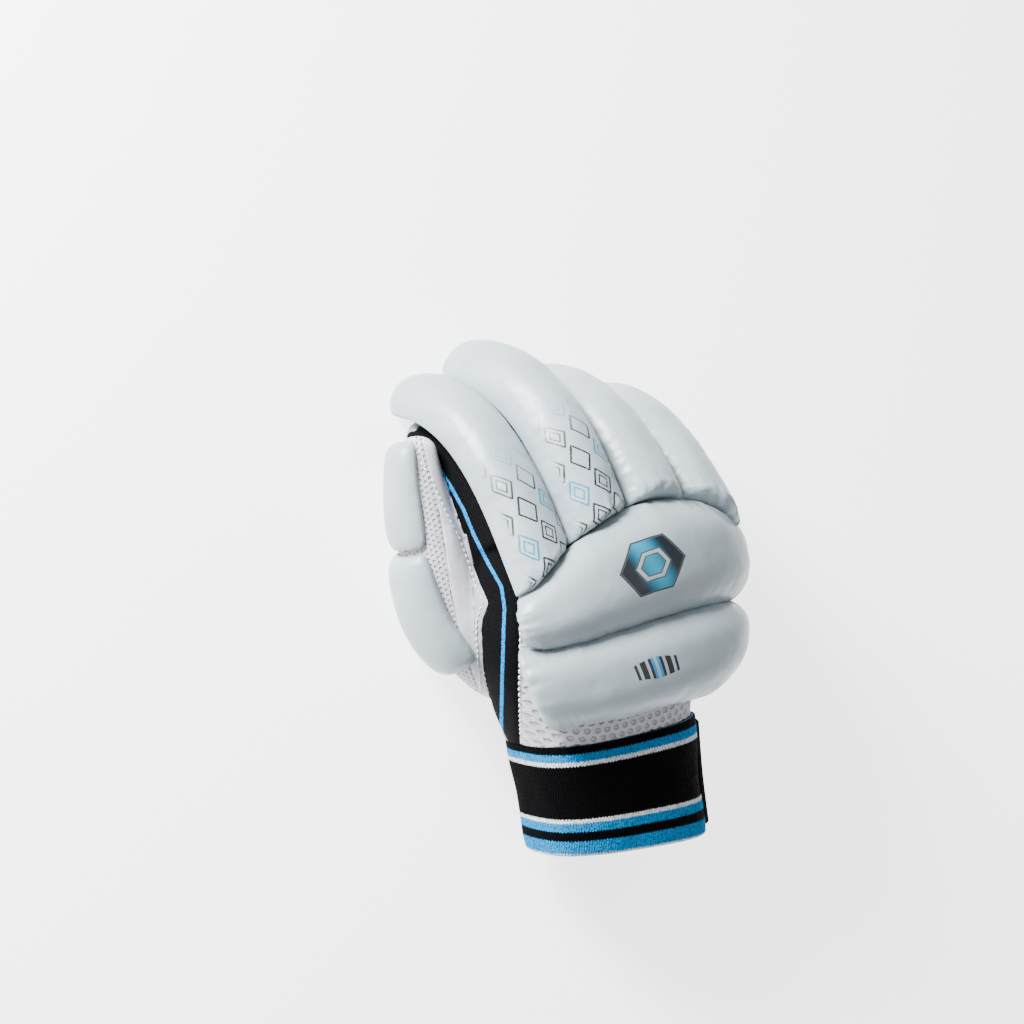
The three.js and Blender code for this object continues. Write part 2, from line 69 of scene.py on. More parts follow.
# y, centre x, half width, top height, skew
CUFF = np.array([(-170, -10, 45.5, 55, 7), (-143, -9.5, 45.5, 61, 5.5), (-115, -8, 46.5, 67, 3.5)], float)
THUMB = np.array([(-24, -93, 39, 14), (-45, -77, 30, 18), (-65.5, -46, 26, 19), (-73, -8, 29, 15.4),
                  (-73, 22, 32, 11.2), (-70, 41, 34, 8.6)], float)
# share across, front edge y, rear edge y
KNUCKLE_ROLL = np.array([
    (0, -42, -61), (.1, -35.5, -66), (.22, -26.5, -67.5), (.34, -18.5, -67.5), (.44, -15.5, -67.5),
    (.6, -19.5, -69), (.78, -27.5, -71), (.93, -35, -73), (1, -39, -72)], float)
WRIST_ROLL = np.array([
    (0, -64, -97), (.08, -67.5, -102.5), (.25, -69.2, -106), (.5, -69.6, -109), (.75, -72.4, -111),
    (.92, -74.5, -110.5), (1, -76.5, -105)], float)


def smooth(rows, column, at):
    """Smooth curve through a column of a table whose first column is the key."""
    key, val, at = rows[:, 0], rows[:, column], np.asarray(at, float)
    last = len(key) - 1
    i = np.searchsorted(key[1:-1], at, "left")
    lo, hi = np.maximum(i - 1, 0), np.minimum(i + 2, last)
    width = key[i + 1] - key[i]
    t = (at - key[i]) / width
    m1 = (val[i + 1] - val[lo]) / np.maximum(key[i + 1] - key[lo], 1e-9) * width
    m2 = (val[hi] - val[i]) / np.maximum(key[hi] - key[i], 1e-9) * width
    return ((2 * t**3 - 3 * t**2 + 1) * val[i] + (t**3 - 2 * t**2 + t) * m1
            + (3 * t**2 - 2 * t**3) * val[i + 1] + (t**3 - t**2) * m2)


def power(value, exponent):
    """Power that keeps the sign, for boxy ovals."""
    return np.sign(value) * np.abs(value) ** exponent


def unit(vectors):
    return vectors / np.maximum(np.linalg.norm(vectors, axis=-1, keepdims=True), 1e-9)


def quarter(share):
    """Height of a quarter circle over its share of the way, 0 to 1."""
    return np.sqrt(np.maximum(1 - (1 - share) ** 2, 0))


def hand_point(y, angle, out):
    """Point on the hand's cross-section at y, moved outwards."""
    row = np.minimum(y, WEB_Y)
    x0, z0, a, h, arch = (smooth(HAND, k, row) for k in (1, 2, 3, 4, 5))
    dx = (a + out) * power(np.cos(angle), HAND_EXP)
    dz = (h + out) * power(np.sin(angle), HAND_EXP)
    return np.stack(np.broadcast_arrays(x0 + dx, y, z0 + dz - arch * (dx / a) ** 2), -1)


def cuff_point(y, angle, out):
    """Point on the cuff's cross-section, moved outwards."""
    x0, a, top, skew = (smooth(CUFF, k, y) for k in (1, 2, 3, 4))
    h = (top - CUFF_LOW_Z) / 2
    z = CUFF_LOW_Z + h + (h + out) * power(np.sin(angle), CUFF_EXP)
    dx = (a + out) * power(np.cos(angle), CUFF_EXP)
    return np.stack(np.broadcast_arrays(
        x0 + dx, y - HEM_PITCH * (z - CUFF_LOW_Z - h) - skew * dx / a, z), -1)


# The row frame is the working frame moved sideways: the cuff's end gives by how much
cuff_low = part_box("cuff")[0]
cuff_end = cuff_point(CUFF_END_Y, np.arange(32) * pi / 16, 0)
SHIFT = np.array([cuff_low[0] * 1000 + 55.5, cuff_low[1] * 1000 - cuff_end[:, 1].min(), 0])


def metres(points):
    """From millimetres in the working frame to metres in the row frame."""
    return (np.asarray(points, float) + SHIFT) / 1000


# ---- camera, at the photograph's angle
# SCALE is in pixels a millimetre; the target falls on MID in a picture WIDE pixels wide
AZ, EL, ROLL, SCALE, DIST = radians(-96), radians(55), radians(9), 2.12, 1500
WIDE, MID = 1024, (573, 552)
VIEW_C = np.array([sin(AZ) * cos(EL), -cos(AZ) * cos(EL), sin(EL)])
_y = np.array([0, 1, .14]) / np.hypot(1, .14)
_u = _y - _y.dot(VIEW_C) * VIEW_C
_u /= np.linalg.norm(_u)
_r = np.cross(_u, VIEW_C)
VIEW_R = _r * cos(ROLL) - _u * sin(ROLL)
VIEW_U = _r * sin(ROLL) + _u * cos(ROLL)
TARGET = np.array([-10, -30, 50])


def picture(points):
    """Where points fall in the picture, in pixels."""
    d = np.asarray(points, float) - TARGET
    k = SCALE * DIST / (DIST - d @ VIEW_C)
    return np.stack([MID[0] + k * (d @ VIEW_R), MID[1] - k * (d @ VIEW_U)], -1)


def new_object(name, data):
    thing = bpy.data.objects.new(name, data)
    bpy.context.scene.collection.objects.link(thing)
    return thing


cam = new_object("camera", bpy.data.cameras.new("camera"))
aim = TARGET + (WIDE / 2 - MID[0]) / SCALE * VIEW_R - (WIDE / 2 - MID[1]) / SCALE * VIEW_U + DIST * VIEW_C
m = Matrix(np.stack([VIEW_R, VIEW_U, VIEW_C], 1).tolist()).to_4x4()
m.translation = Vector(metres(aim))
cam.matrix_world = m
cam.data.lens = SCALE * DIST * cam.data.sensor_width / WIDE
cam.data.clip_end = 20
bpy.context.scene.camera = cam


# ---- fingers
ACROSS = np.array([cos(TURN) * cos(LEAN), -sin(TURN) * cos(LEAN), -sin(LEAN)])
AHEAD = np.array([sin(TURN), cos(TURN), 0])
ABOVE = np.cross(ACROSS, AHEAD)


STEPS = 240


class Finger:
    """Curled line of a finger, with places given along it, to its side and above it."""

    def __init__(self, row):
        (self.name, x, y, z, lo, hi, late, self.long, self.w0, self.w1, self.h, self.seam) = row
        self.x, self.y, self.z = x, y, z
        t = np.linspace(0, 1, STEPS + 1)
        pitch = np.radians(lo + (hi - lo) * t ** late)[:, None]
        self.along = AHEAD * np.cos(pitch) - ABOVE * np.sin(pitch)
        self.out = AHEAD * np.sin(pitch) + ABOVE * np.cos(pitch)
        step = self.long / STEPS
        self.path = np.vstack([[x, y, z], [x, y, z] + np.cumsum(self.along[:-1] * step, 0)])
        self.s = t * self.long

    def frame(self, s):
        pick = [np.stack([np.interp(s, self.s, part[:, k]) for k in range(3)], -1)
                for part in (self.path, self.out)]
        base = pick[0] + np.minimum(s, 0)[..., None] * self.along[0]
        return base, unit(pick[1])

    def place(self, s, side, lift):
        s, side, lift = np.broadcast_arrays(s, side, lift)
        base, out = self.frame(s.astype(float))
        return base + ACROSS * side[..., None] + out * lift[..., None]

    def locate(self, points):
        """Nearest place along the tube, side and lift of each point, and its distance from the middle."""
        middle = self.path - self.out * (ROLL_BELLY + STALL_SPACE + STALL_HALF_HEIGHT)
        best = np.full(len(points), 1e9)
        index = np.zeros(len(points), int)
        for i in range(0, STEPS + 1, 2):
            d = ((points - middle[i]) ** 2).sum(1)
            near = d < best
            best[near], index[near] = d[near], i
        off = points - self.path[index]
        slip = (off * self.along[index]).sum(1)
        s = self.s[index] + slip
        return s, off @ ACROSS, (off * self.out[index]).sum(1), np.sqrt(best)


FINGER = [Finger(row) for row in FINGERS]


def knuckle_front(x):
    """Front edge of the roll over the knuckles, where the finger rolls start."""
    s = np.linspace(0, 1, 25)
    y = smooth(KNUCKLE_ROLL, 1, s)
    start, stop, _ = KNUCKLE_ARC
    edge = hand_point(y, np.radians(start + (stop - start) * s), 5)[:, 0]
    return smooth(np.stack([edge, y], 1), 1, np.clip(x, edge[0], edge[-1]))


# ---- mesh helpers
def normals(grid):
    return unit(np.cross(np.gradient(grid, axis=0), np.gradient(grid, axis=1)))


def fields(points, scale, seed):
    """Smooth noise at each point, about -1 to 1."""
    flat = np.asarray(points, float).reshape(-1, 3) * scale + seed
    return np.array([noise.noise(Vector(p)) for p in flat]).reshape(np.shape(points)[:-1])


def make(name, points, faces, material, uv=None, replaces=(), attributes=None):
    mesh = bpy.data.meshes.new(name)
    points = np.array(points, float)
    points[:, 2] = np.maximum(points[:, 2], 0.02)
    mesh.from_pydata(metres(points).tolist(), [], [tuple(map(int, f)) for f in faces])
    mesh.validate()
    mesh.update()
    if uv is not None:
        layer = mesh.uv_layers.new(name="place")
        index = np.empty(len(mesh.loops), int)
        mesh.loops.foreach_get("vertex_index", index)
        layer.data.foreach_set("uv", np.asarray(uv, float)[index].ravel())
    for key, values in (attributes or {}).items():
        mesh.attributes.new(key, "FLOAT", "POINT").data.foreach_set("value", np.asarray(values, float))
    mesh.polygons.foreach_set("use_smooth", np.ones(len(mesh.polygons), bool))
    mesh.materials.append(material)
    piece = new_object(name, mesh)
    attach(piece, "root")
    if replaces:
        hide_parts(*replaces)
    return piece


def grid_faces(rows, cols, wrap=False, base=0, flip=False):
    faces = []
    for j in range(rows - 1):
        for i in range(cols if wrap else cols - 1):
            a = base + j * cols + i
            b = base + j * cols + (i + 1) % cols
            quad = (a, b, b + cols, a + cols)
            faces.append(quad[::-1] if flip else quad)
    return faces


def closed_faces(rows, cols, flip=False):
    """Faces of a closed piece whose points are a top grid and then a bottom grid."""
    size = rows * cols
    faces = grid_faces(rows, cols, flip=flip) + grid_faces(rows, cols, base=size, flip=not flip)
    edge = [(i, i + 1) for i in range(cols - 1)]
    edge += [((rows - 1) * cols + i + 1, (rows - 1) * cols + i) for i in range(cols - 1)]
    edge += [((j + 1) * cols, j * cols) for j in range(rows - 1)]
    edge += [(j * cols + cols - 1, (j + 1) * cols + cols - 1) for j in range(rows - 1)]
    for a, b in edge:
        quad = (a, size + a, size + b, b)
        faces.append(quad[::-1] if flip else quad)
    return faces


def lengths(grid):
    """Distance along both directions of a grid, from its middle column and first row."""
    across = np.linalg.norm(np.diff(grid, axis=1), axis=-1)
    along = np.linalg.norm(np.diff(grid, axis=0), axis=-1)
    u = np.concatenate([np.zeros((len(grid), 1)), np.cumsum(across, 1)], 1)
    v = np.concatenate([np.zeros((1, grid.shape[1])), np.cumsum(along, 0)], 0)
    middle = grid.shape[1] // 2
    return u - u[:, middle:middle + 1], np.broadcast_to(v[:, middle:middle + 1], u.shape)


def pad(name, top, bottom, material, node, flip=False, uv=None):
    """Closed padded piece between two grids that nearly share their outline."""
    faces = closed_faces(*top.shape[:2], flip)
    u, v = uv if uv is not None else lengths(top)
    uvs = np.concatenate([np.stack([u, v], -1).reshape(-1, 2), np.stack([u + 500, v], -1).reshape(-1, 2)])
    piece = make(name, np.concatenate([top.reshape(-1, 3), bottom.reshape(-1, 3)]), faces, material,
                 uv=uvs, replaces=[node])
    return piece


# ---- material helpers
class Look:
    """A node material, built from the output backwards."""

    def __init__(self, name):
        self.mat = bpy.data.materials.new(name)
        self.mat.use_nodes = True
        self.tree = self.mat.node_tree
        self.tree.nodes.clear()

    def add(self, kind, take=0, put=None, **inputs):
        node = self.tree.nodes.new("ShaderNode" + kind)
        for key, value in (put or {}).items():
            setattr(node, key, value)
        for key, value in inputs.items():
            socket = node.inputs[int(key[1:]) if key[1:].isdigit() else key.replace("_", " ")]
            if isinstance(value, bpy.types.NodeSocket):
                self.tree.links.new(value, socket)
            else:
                socket.default_value = value
        return node.outputs[take]

    def math(self, op, a, b=0.0):
        return self.add("Math", put={"operation": op}, i0=a, i1=b, i2=0.0)

    def plus(self, a, b):
        return self.math("ADD", a, b)

    def minus(self, a, b):
        return self.math("SUBTRACT", a, b)

    def times(self, a, b):
        return self.math("MULTIPLY", a, b)

    def size(self, a):
        return self.math("ABSOLUTE", a)

    def mix(self, factor, a, b):
        return self.add("Mix", take=2, put={"data_type": "RGBA"}, i0=factor, i6=a, i7=b)

    def step(self, value, low, high):
        return self.add("MapRange", put={"interpolation_type": "SMOOTHSTEP"}, Value=value,
                        From_Min=low, From_Max=high)

    def noise(self, vector, scale, detail=3.0, rough=0.55):
        return self.add("TexNoise", Vector=vector, Scale=scale, Detail=detail, Roughness=rough)

    def noise_colour(self, vector, scale):
        return self.add("TexNoise", take=1, Vector=vector, Scale=scale, Detail=2.0)

    def place(self):
        """Where the point is in the object, in millimetres."""
        at = self.add("TexCoord", take=3)
        return self.add("VectorMath", put={"operation": "SCALE"}, i0=at, Scale=1000.0)

    def uv(self):
        """Distances across and along the surface, in millimetres."""
        node = self.tree.nodes.new("ShaderNodeSeparateXYZ")
        self.tree.links.new(self.add("UVMap", put={"uv_map": "place"}), node.inputs[0])
        return node.outputs[0], node.outputs[1]

    def bump(self, height, distance, strength=1.0, normal=None):
        extra = {} if normal is None else {"Normal": normal}
        return self.add("Bump", Height=height, Distance=distance, Strength=strength, **extra)

    def finish(self, colour, roughness, normal, **more):
        shader = self.add("BsdfPrincipled", Base_Color=colour, Roughness=roughness, Normal=normal, **more)
        out = self.tree.nodes.new("ShaderNodeOutputMaterial")
        self.tree.links.new(shader, out.inputs[0])
        return self.mat


BLUE = (0.0, 0.18, 0.42, 1)
TEAL = (0.0, 0.15, 0.24, 1)
BLACK = (0.0012, 0.0012, 0.0015, 1)
WHITE = (0.28, 0.335, 0.36, 1)
SHADE = (0.25, 0.3, 0.325, 1)


def leather(name, grain=1.0, base=WHITE, shade=SHADE, rough=(0.3, 0.44), wear=0.0, draw=None,
            creases=0.0):
    k = Look(name)
    at = k.place()
    cloud = k.noise(at, 0.03, 2)
    colour = k.mix(k.step(cloud, 0.35, 0.65), base, shade)
    if wear:
        dirt = k.step(k.noise(at, 0.22, 5, 0.65), 0.5, 0.78)
        colour = k.mix(k.times(dirt, wear), colour, (0.5, 0.52, 0.53, 1))
    if draw:
        colour = draw(k, colour)
    fine = k.add("TexVoronoi", Vector=at, Scale=1.1)
    soft = k.noise(at, 0.35, 4)
    height = k.plus(k.times(fine, 0.35 * grain), k.times(soft, 0.9))
    normal = k.bump(height, 0.00016 * grain, 0.5)
    normal = k.bump(k.noise(at, 0.05, 2, 0.5), 0.003, 0.3, normal)
    if creases:
        bent = k.add("VectorMath", put={"operation": "MULTIPLY_ADD"}, i0=k.noise_colour(at, 0.05),
                     i1=(14, 14, 14), i2=at)
        cracks = k.add("TexVoronoi", put={"feature": "DISTANCE_TO_EDGE"}, Vector=bent, Scale=0.045)
        valley = k.step(cracks, 0.0, 0.07)
        # the crease lines are painted darker: painted shade in the creases
        colour = k.mix(k.times(k.minus(1.0, valley), 0.12 * creases), colour,
                       (0.25, 0.27, 0.28, 1))
        normal = k.bump(valley, 0.0007, 0.5 * creases, normal)
    spot = k.noise(at, 0.12, 3)
    roughness = k.add("MapRange", Value=spot, From_Min=0.3, From_Max=0.7, To_Min=rough[0], To_Max=rough[1])
    return k.finish(colour, roughness, normal, Specular_IOR_Level=0.45)


def motifs(k, colour):
    """Outlined rhombs in rows, black and teal, that fade up the finger."""
    u, v = k.uv()
    row = k.math("DIVIDE", v, 14.0)
    which = k.math("FLOOR", row)
    odd = k.math("MODULO", which, 2.0)
    col = k.plus(k.math("DIVIDE", u, 13.5), k.times(odd, 0.5))
    fu = k.times(k.minus(k.math("FRACT", col), 0.5), 13.5)
    fv = k.times(k.minus(k.math("FRACT", row), 0.5), 14.0)
    lean = k.plus(fu, k.times(fv, 0.3))
    outer = k.plus(k.size(lean), k.times(k.size(fv), 0.72))
    line = k.step(k.size(k.minus(outer, 4.9)), 0.7, 0.46)
    inner = k.step(k.size(k.minus(outer, 2.5)), 0.55, 0.36)
    cell = k.math("MODULO", k.plus(k.math("FLOOR", col), k.times(which, 2.0)), 3.0)
    dark = k.step(k.size(k.minus(cell, 1.0)), 0.5, 0.6)
    some = k.step(k.size(cell), 0.4, 0.6)
    ink = k.mix(dark, TEAL, BLACK)
    amount = k.math("MAXIMUM", line, k.times(inner, some))
    fade = k.step(v, 74.0, 40.0)
    grain = k.step(k.noise(k.place(), 1.5, 2), 0.2, 0.45)
    amount = k.times(k.times(amount, fade), grain)
    tint = k.times(k.step(outer, 5.2, 1.0), k.times(k.step(v, 40.0, 5.0), 0.22))
    colour = k.mix(k.times(tint, k.minus(1.0, dark)), colour, (0.1, 0.42, 0.5, 1))
    side = k.step(k.size(u), 21.0, 17.0)
    return k.mix(k.times(amount, side), colour, ink)


def emblem(k, colour):
    """A six-sided ring round a small core, black turning to blue."""
    u, v = k.uv()
    x = k.plus(k.minus(u, EMBLEM[0]), k.times(k.minus(v, EMBLEM[1]), 0.1))
    y = k.minus(v, EMBLEM[1])
    ax, ay = k.size(x), k.size(y)
    d = k.math("MAXIMUM", ay, k.plus(k.times(ax, 0.64), k.times(ay, 0.5)))
    ring = k.times(k.step(d, 12.3, 12.0), k.step(d, 7.0, 7.3))
    core = k.step(d, 4.6, 4.3)
    shape = k.math("MAXIMUM", ring, core)
    rim = k.math("MAXIMUM", k.times(k.step(d, 13.1, 12.9), k.step(d, 12.0, 12.3)),
                 k.times(k.step(d, 7.3, 7.0), k.step(d, 6.5, 6.7)))
    rim = k.math("MAXIMUM", rim, k.times(k.step(d, 5.1, 4.9), k.step(d, 4.3, 4.6)))
    across = k.plus(k.times(x, 0.04), k.times(y, 0.02))
    glow = k.step(k.size(across), 0.5, 0.02)
    ink = k.mix(glow, (0.001, 0.004, 0.008, 1), (0.0, 0.2, 0.33, 1))
    colour = k.mix(shape, colour, ink)
    return k.mix(k.times(rim, 0.92), colour, BLACK)


def bars(k, colour):
    """Five short slanted bars, the middle one blue."""
    u, v = k.uv()
    y = k.minus(v, BARS[1])
    x = k.plus(k.minus(u, BARS[0]), k.times(y, 0.25))
    cell = k.math("DIVIDE", x, 5.0)
    near = k.size(k.times(k.minus(k.math("FRACT", cell), 0.5), 5.0))
    inside = k.times(k.step(k.size(x), 12.5, 12.4), k.step(near, 1.75, 1.55))
    height = k.minus(5.4, k.times(k.size(x), 0.14))
    inside = k.times(inside, k.step(k.minus(k.size(y), height), 0.1, -0.1))
    ink = k.mix(k.step(k.size(x), 2.5, 2.6), BLUE, BLACK)
    return k.mix(inside, colour, ink)


def air_mesh(name, cell, sides, base=(0.5, 0.49, 0.53, 1), hole_shade=(0.3, 0.29, 0.33, 1)):
    """Spacer cloth with staggered holes; sides are the two directions that the holes are laid out in."""
    k = Look(name)
    at = k.place()
    dots = [k.add("VectorMath", take=1, put={"operation": "DOT_PRODUCT"}, i0=at, i1=side) for side in sides]
    row = k.math("DIVIDE", dots[1], cell * 0.8)
    col = k.plus(k.math("DIVIDE", dots[0], cell),
                 k.times(k.math("MODULO", k.math("FLOOR", row), 2.0), 0.5))
    wob = k.times(k.minus(k.noise(at, 0.4, 2), 0.5), 0.35)
    fu = k.minus(k.math("FRACT", k.plus(col, wob)), 0.5)
    fv = k.minus(k.math("FRACT", row), 0.5)
    d = k.math("SQRT", k.plus(k.times(fu, fu), k.times(k.times(fv, fv), 0.8)))
    dip = k.step(d, 0.36, 0.14)
    thread = k.add("TexVoronoi", Vector=at, Scale=2.6)
    # the holes are painted darker: painted shade in the holes
    colour = k.mix(k.times(dip, 0.5), base, hole_shade)
    colour = k.mix(k.times(k.step(thread, 0.35, 0.75), 0.25), colour, (0.6, 0.58, 0.63, 1))
    height = k.minus(k.times(thread, -0.18), k.times(dip, 1.0))
    normal = k.bump(height, cell * 0.00042, 1.0)
    return k.finish(colour, 0.85, normal, Sheen_Weight=0.25, Sheen_Roughness=0.5)


def knit(name):
    """Black stretch knit with a blue corded line where the attribute line is near nought."""
    k = Look(name)
    at = k.place()
    rib = k.add("TexWave", put={"wave_type": "BANDS", "bands_direction": "Y"}, Vector=at, Scale=0.45,
                Distortion=0.6, Detail=1.0)
    rib2 = k.add("TexWave", put={"wave_type": "BANDS", "bands_direction": "Z"}, Vector=at, Scale=0.45,
                 Distortion=0.6, Detail=1.0)
    fuzz = k.noise(at, 2.2, 4)
    dark = k.mix(k.step(fuzz, 0.4, 0.8), (0.0012, 0.0012, 0.0016, 1), (0.006, 0.006, 0.007, 1))
    line = k.add("Attribute", take=2, put={"attribute_name": "line"})
    wob = k.times(k.minus(k.noise(at, 0.7, 2), 0.5), 0.5)
    d = k.size(k.plus(line, wob))
    cord = k.step(d, 0.98, 0.7)
    twist = k.add("TexVoronoi", Vector=at, Scale=1.3)
    # the cord is painted lighter on its raised twists and darker between them: painted shade
    blue = k.mix(k.step(twist, 0.2, 0.9), (0.0, 0.24, 0.6, 1), (0.0, 0.08, 0.24, 1))
    colour = k.mix(cord, dark, blue)
    height = k.plus(k.plus(k.times(rib, 0.3), k.times(rib2, 0.2)),
                    k.times(fuzz, 0.3))
    height = k.plus(height, k.times(k.minus(1.2, twist), k.times(cord, 1.2)))
    return k.finish(colour, 0.8, k.bump(height, 0.0005, 0.7), Specular_IOR_Level=0.04)


def cuff_look(name):
    """Folded terry knit with bands of blue and white."""
    k = Look(name)
    u, v = k.uv()
    tooth = k.times(k.math("PINGPONG", u, 0.8), 0.9)
    jag = k.plus(v, k.minus(tooth, k.times(k.noise(k.place(), 0.9, 3), 1.1)))
    # distance from the hem in millimetres, colour
    bands = [(0, BLACK), (3.4, BLUE), (7.3, (0.66, 0.68, 0.7, 1)), (9.4, BLACK), (36.6, (0.66, 0.68, 0.7, 1)),
             (38.6, BLUE), (42.9, BLACK), (47.6, BLUE), (54.2, (0.72, 0.76, 0.8, 1)), (55.4, BLUE)]
    ramp = k.tree.nodes.new("ShaderNodeValToRGB")
    ramp.color_ramp.interpolation = "CONSTANT"
    while len(ramp.color_ramp.elements) < len(bands):
        ramp.color_ramp.elements.new(0.5)
    for element, (place, colour) in zip(ramp.color_ramp.elements, bands):
        element.position = place / 60
        element.color = colour
    k.tree.links.new(k.math("DIVIDE", jag, 60.0), ramp.inputs[0])
    colour = ramp.outputs[0]
    loops = k.add("TexVoronoi", Vector=k.place(), Scale=1.15)
    pile = k.noise(k.place(), 1.6, 4, 0.7)
    # darker between the terry loops, where the relief is low: painted shade
    colour = k.mix(k.times(k.step(loops, 0.25, 0.8), 0.5), colour, (0.0, 0.0, 0.0, 1))
    # lighter specks on the raised pile of the blue and white bands: painted highlight
    lift = k.mix(0.22, colour, (0.25, 0.75, 1, 1))
    bright = k.add("RGBToBW", Color=colour)
    colour = k.mix(k.times(k.step(pile, 0.5, 0.75), k.step(bright, 0.03, 0.2)), colour, lift)
    rib = k.size(k.math("SINE", k.times(u, 2.6)))
    height = k.plus(k.times(k.minus(1.0, loops), 0.8), k.times(rib, 0.5))
    height = k.plus(height, k.times(pile, 0.5))
    return k.finish(colour, 0.92, k.bump(height, 0.0008, 0.8), Specular_IOR_Level=0.03)


def rubber(name, lines):
    """Black strap surface; each line is its place across, its half width in millimetres, and its colour."""
    k = Look(name)
    u, v = k.uv()
    colour = k.mix(k.step(k.noise(k.place(), 0.5, 3), 0.4, 0.7),
                   (0.002, 0.002, 0.0025, 1), (0.005, 0.005, 0.006, 1))
    for place, half, tint in lines:
        d = k.size(k.minus(u, place))
        colour = k.mix(k.step(d, half + 0.15, half - 0.1), colour, tint)
    grain = k.add("TexVoronoi", Vector=k.place(), Scale=0.9)
    return k.finish(colour, 0.5, k.bump(k.plus(grain, k.noise(k.place(), 0.6, 4)), 0.0002, 0.5),
                    Specular_IOR_Level=0.1)


EMBLEM, BARS = [0.0, 0.0], [0.0, 0.0]
ROLL_LEATHER = leather("roll_leather")
PRINTED_LEATHER = leather("printed_leather", draw=motifs)
PALM_LEATHER = leather("palm_leather", grain=1.8, base=(0.29, 0.31, 0.325, 1), shade=(0.25, 0.27, 0.28, 1),
                       rough=(0.5, 0.66), wear=0.05, creases=1.0)
BACK_MESH = air_mesh("back_mesh", 5.0, [(1, 0, 0), (0, 0.9, 0.75)], hole_shade=(0.24, 0.235, 0.27, 1))
THUMB_MESH = air_mesh("thumb_mesh", 2.6, [(0, 1, 0), (0.7, 0, 0.7)], hole_shade=(0.34, 0.33, 0.37, 1))
SIDE_CLOTH = leather("side_cloth", grain=1.4, base=(0.56, 0.555, 0.59, 1), shade=(0.5, 0.5, 0.53, 1),
                     rough=(0.6, 0.75))
BLACK_KNIT = knit("black_knit")
CUFF_KNIT = cuff_look("cuff_knit")
THREAD = leather("thread", base=(0.8, 0.82, 0.84, 1), shade=(0.7, 0.72, 0.75, 1), rough=(0.6, 0.7))


# ---- padded finger rolls
def pucker(grid, out, edge, amount, seed):
    """Push points in and out near a sewn edge; edge is 1 on it and 0 away from it."""
    wave = fields(grid, 0.28, seed) * 0.7 + fields(grid, 0.6, seed + 9) * 0.4
    broad = fields(grid, 0.055, seed + 20)
    return grid + out * (amount * edge * wave + 0.35 * broad * (1 - edge))[..., None]


# how far the left and right flank hang below the seam line, and how much wider they bulge
DROOP = {"index": (0, -1.5, 0.6, 0.6), "middle": (6.5, 0, 1.6, 0),
         "ring": (3, 0, 0.6, 0), "little": (2.5, 0, 0.6, 0)}


def folds(grid, out, across, near, amount, seed):
    """Short folds that run away from a sewn end; across is the distance along that end."""
    line = np.stack(np.broadcast_arrays(across * 0.21, near * 0.6, 0.0), -1)
    wave = fields(line, 1.0, seed)
    return grid + out * (amount * near * (np.abs(wave) * -2.2 + 0.5))[..., None]


def finger_roll(f, seed):
    """Top and bottom grids of the padded roll over one finger."""
    rows, cols = 110, 45
    share = (1 - np.cos(np.linspace(0, pi, rows))) / 2 * 0.6 + np.linspace(0, 1, rows) * 0.4
    s = (share * f.long)[:, None]
    u = np.sin(np.linspace(-pi / 2, pi / 2, cols))[None]
    nose, heel = np.clip((f.long - s) / 15, 0, 1), np.clip(s / 5, 0, 1)
    tip = quarter(nose)
    start = quarter(heel)
    w = (f.w0 + (f.w1 - f.w0) * s / f.long) * (0.22 + 0.78 * tip)
    h = f.h * (0.25 + 0.75 * tip) * (0.5 + 0.5 * start)
    fade = np.maximum(1 - s / 40, 0)
    shift = fade * (knuckle_front(f.x + u * w) + ROLL_SPACE - f.y)
    bulge = np.sqrt(np.maximum(1 - np.abs(u) ** 2.4, 0))
    edge = 0.5
    droop = DROOP[f.name][0] * np.maximum(-u, 0) ** 1.6 + DROOP[f.name][1] * np.maximum(u, 0) ** 1.6
    droop = droop * np.clip(tip * 1.2 - 0.2, 0, 1)
    wide = np.where(u < 0, w + DROOP[f.name][2], w + DROOP[f.name][3])
    top = f.place(s + shift, u * wide, edge + (h - edge) * bulge - droop)
    bottom = f.place(s + shift, u * wide, -edge - (ROLL_BELLY - edge) * tip * bulge - droop)
    near = np.exp(-((1 - np.abs(u)) * w / 3.2) ** 2) + 0.9 * np.exp(-(s / 7) ** 2)
    near = np.clip(near + 0.5 * np.exp(-((f.long - s) / 9) ** 2), 0, 1)
    out = normals(top)
    if out[rows // 2, cols // 2] @ f.out[STEPS // 2] < 0:
        out = -out
    top = pucker(top, out, near * bulge ** 0.5, 0.75, seed)
    base_end = np.exp(-(s / 9) ** 2) * np.clip(s / 2.5, 0, 1) * bulge ** 0.5
    top = folds(top, out, u * w, base_end, 1.0, seed)
    flank = np.exp(-((1 - np.abs(u)) * w / 4) ** 2) * bulge ** 0.7
    top = folds(top, out, s * 0.8, flank, 0.5, seed + 40)
    return top, bottom


for number, f in enumerate(FINGER):
    top, bottom = finger_roll(f, 11.3 * number + 3)
    look = PRINTED_LEATHER if f.name in ("index", "middle") else ROLL_LEATHER
    pad("finger_roll_" + f.name, top, bottom, look, f.name + "_roll", flip=True)


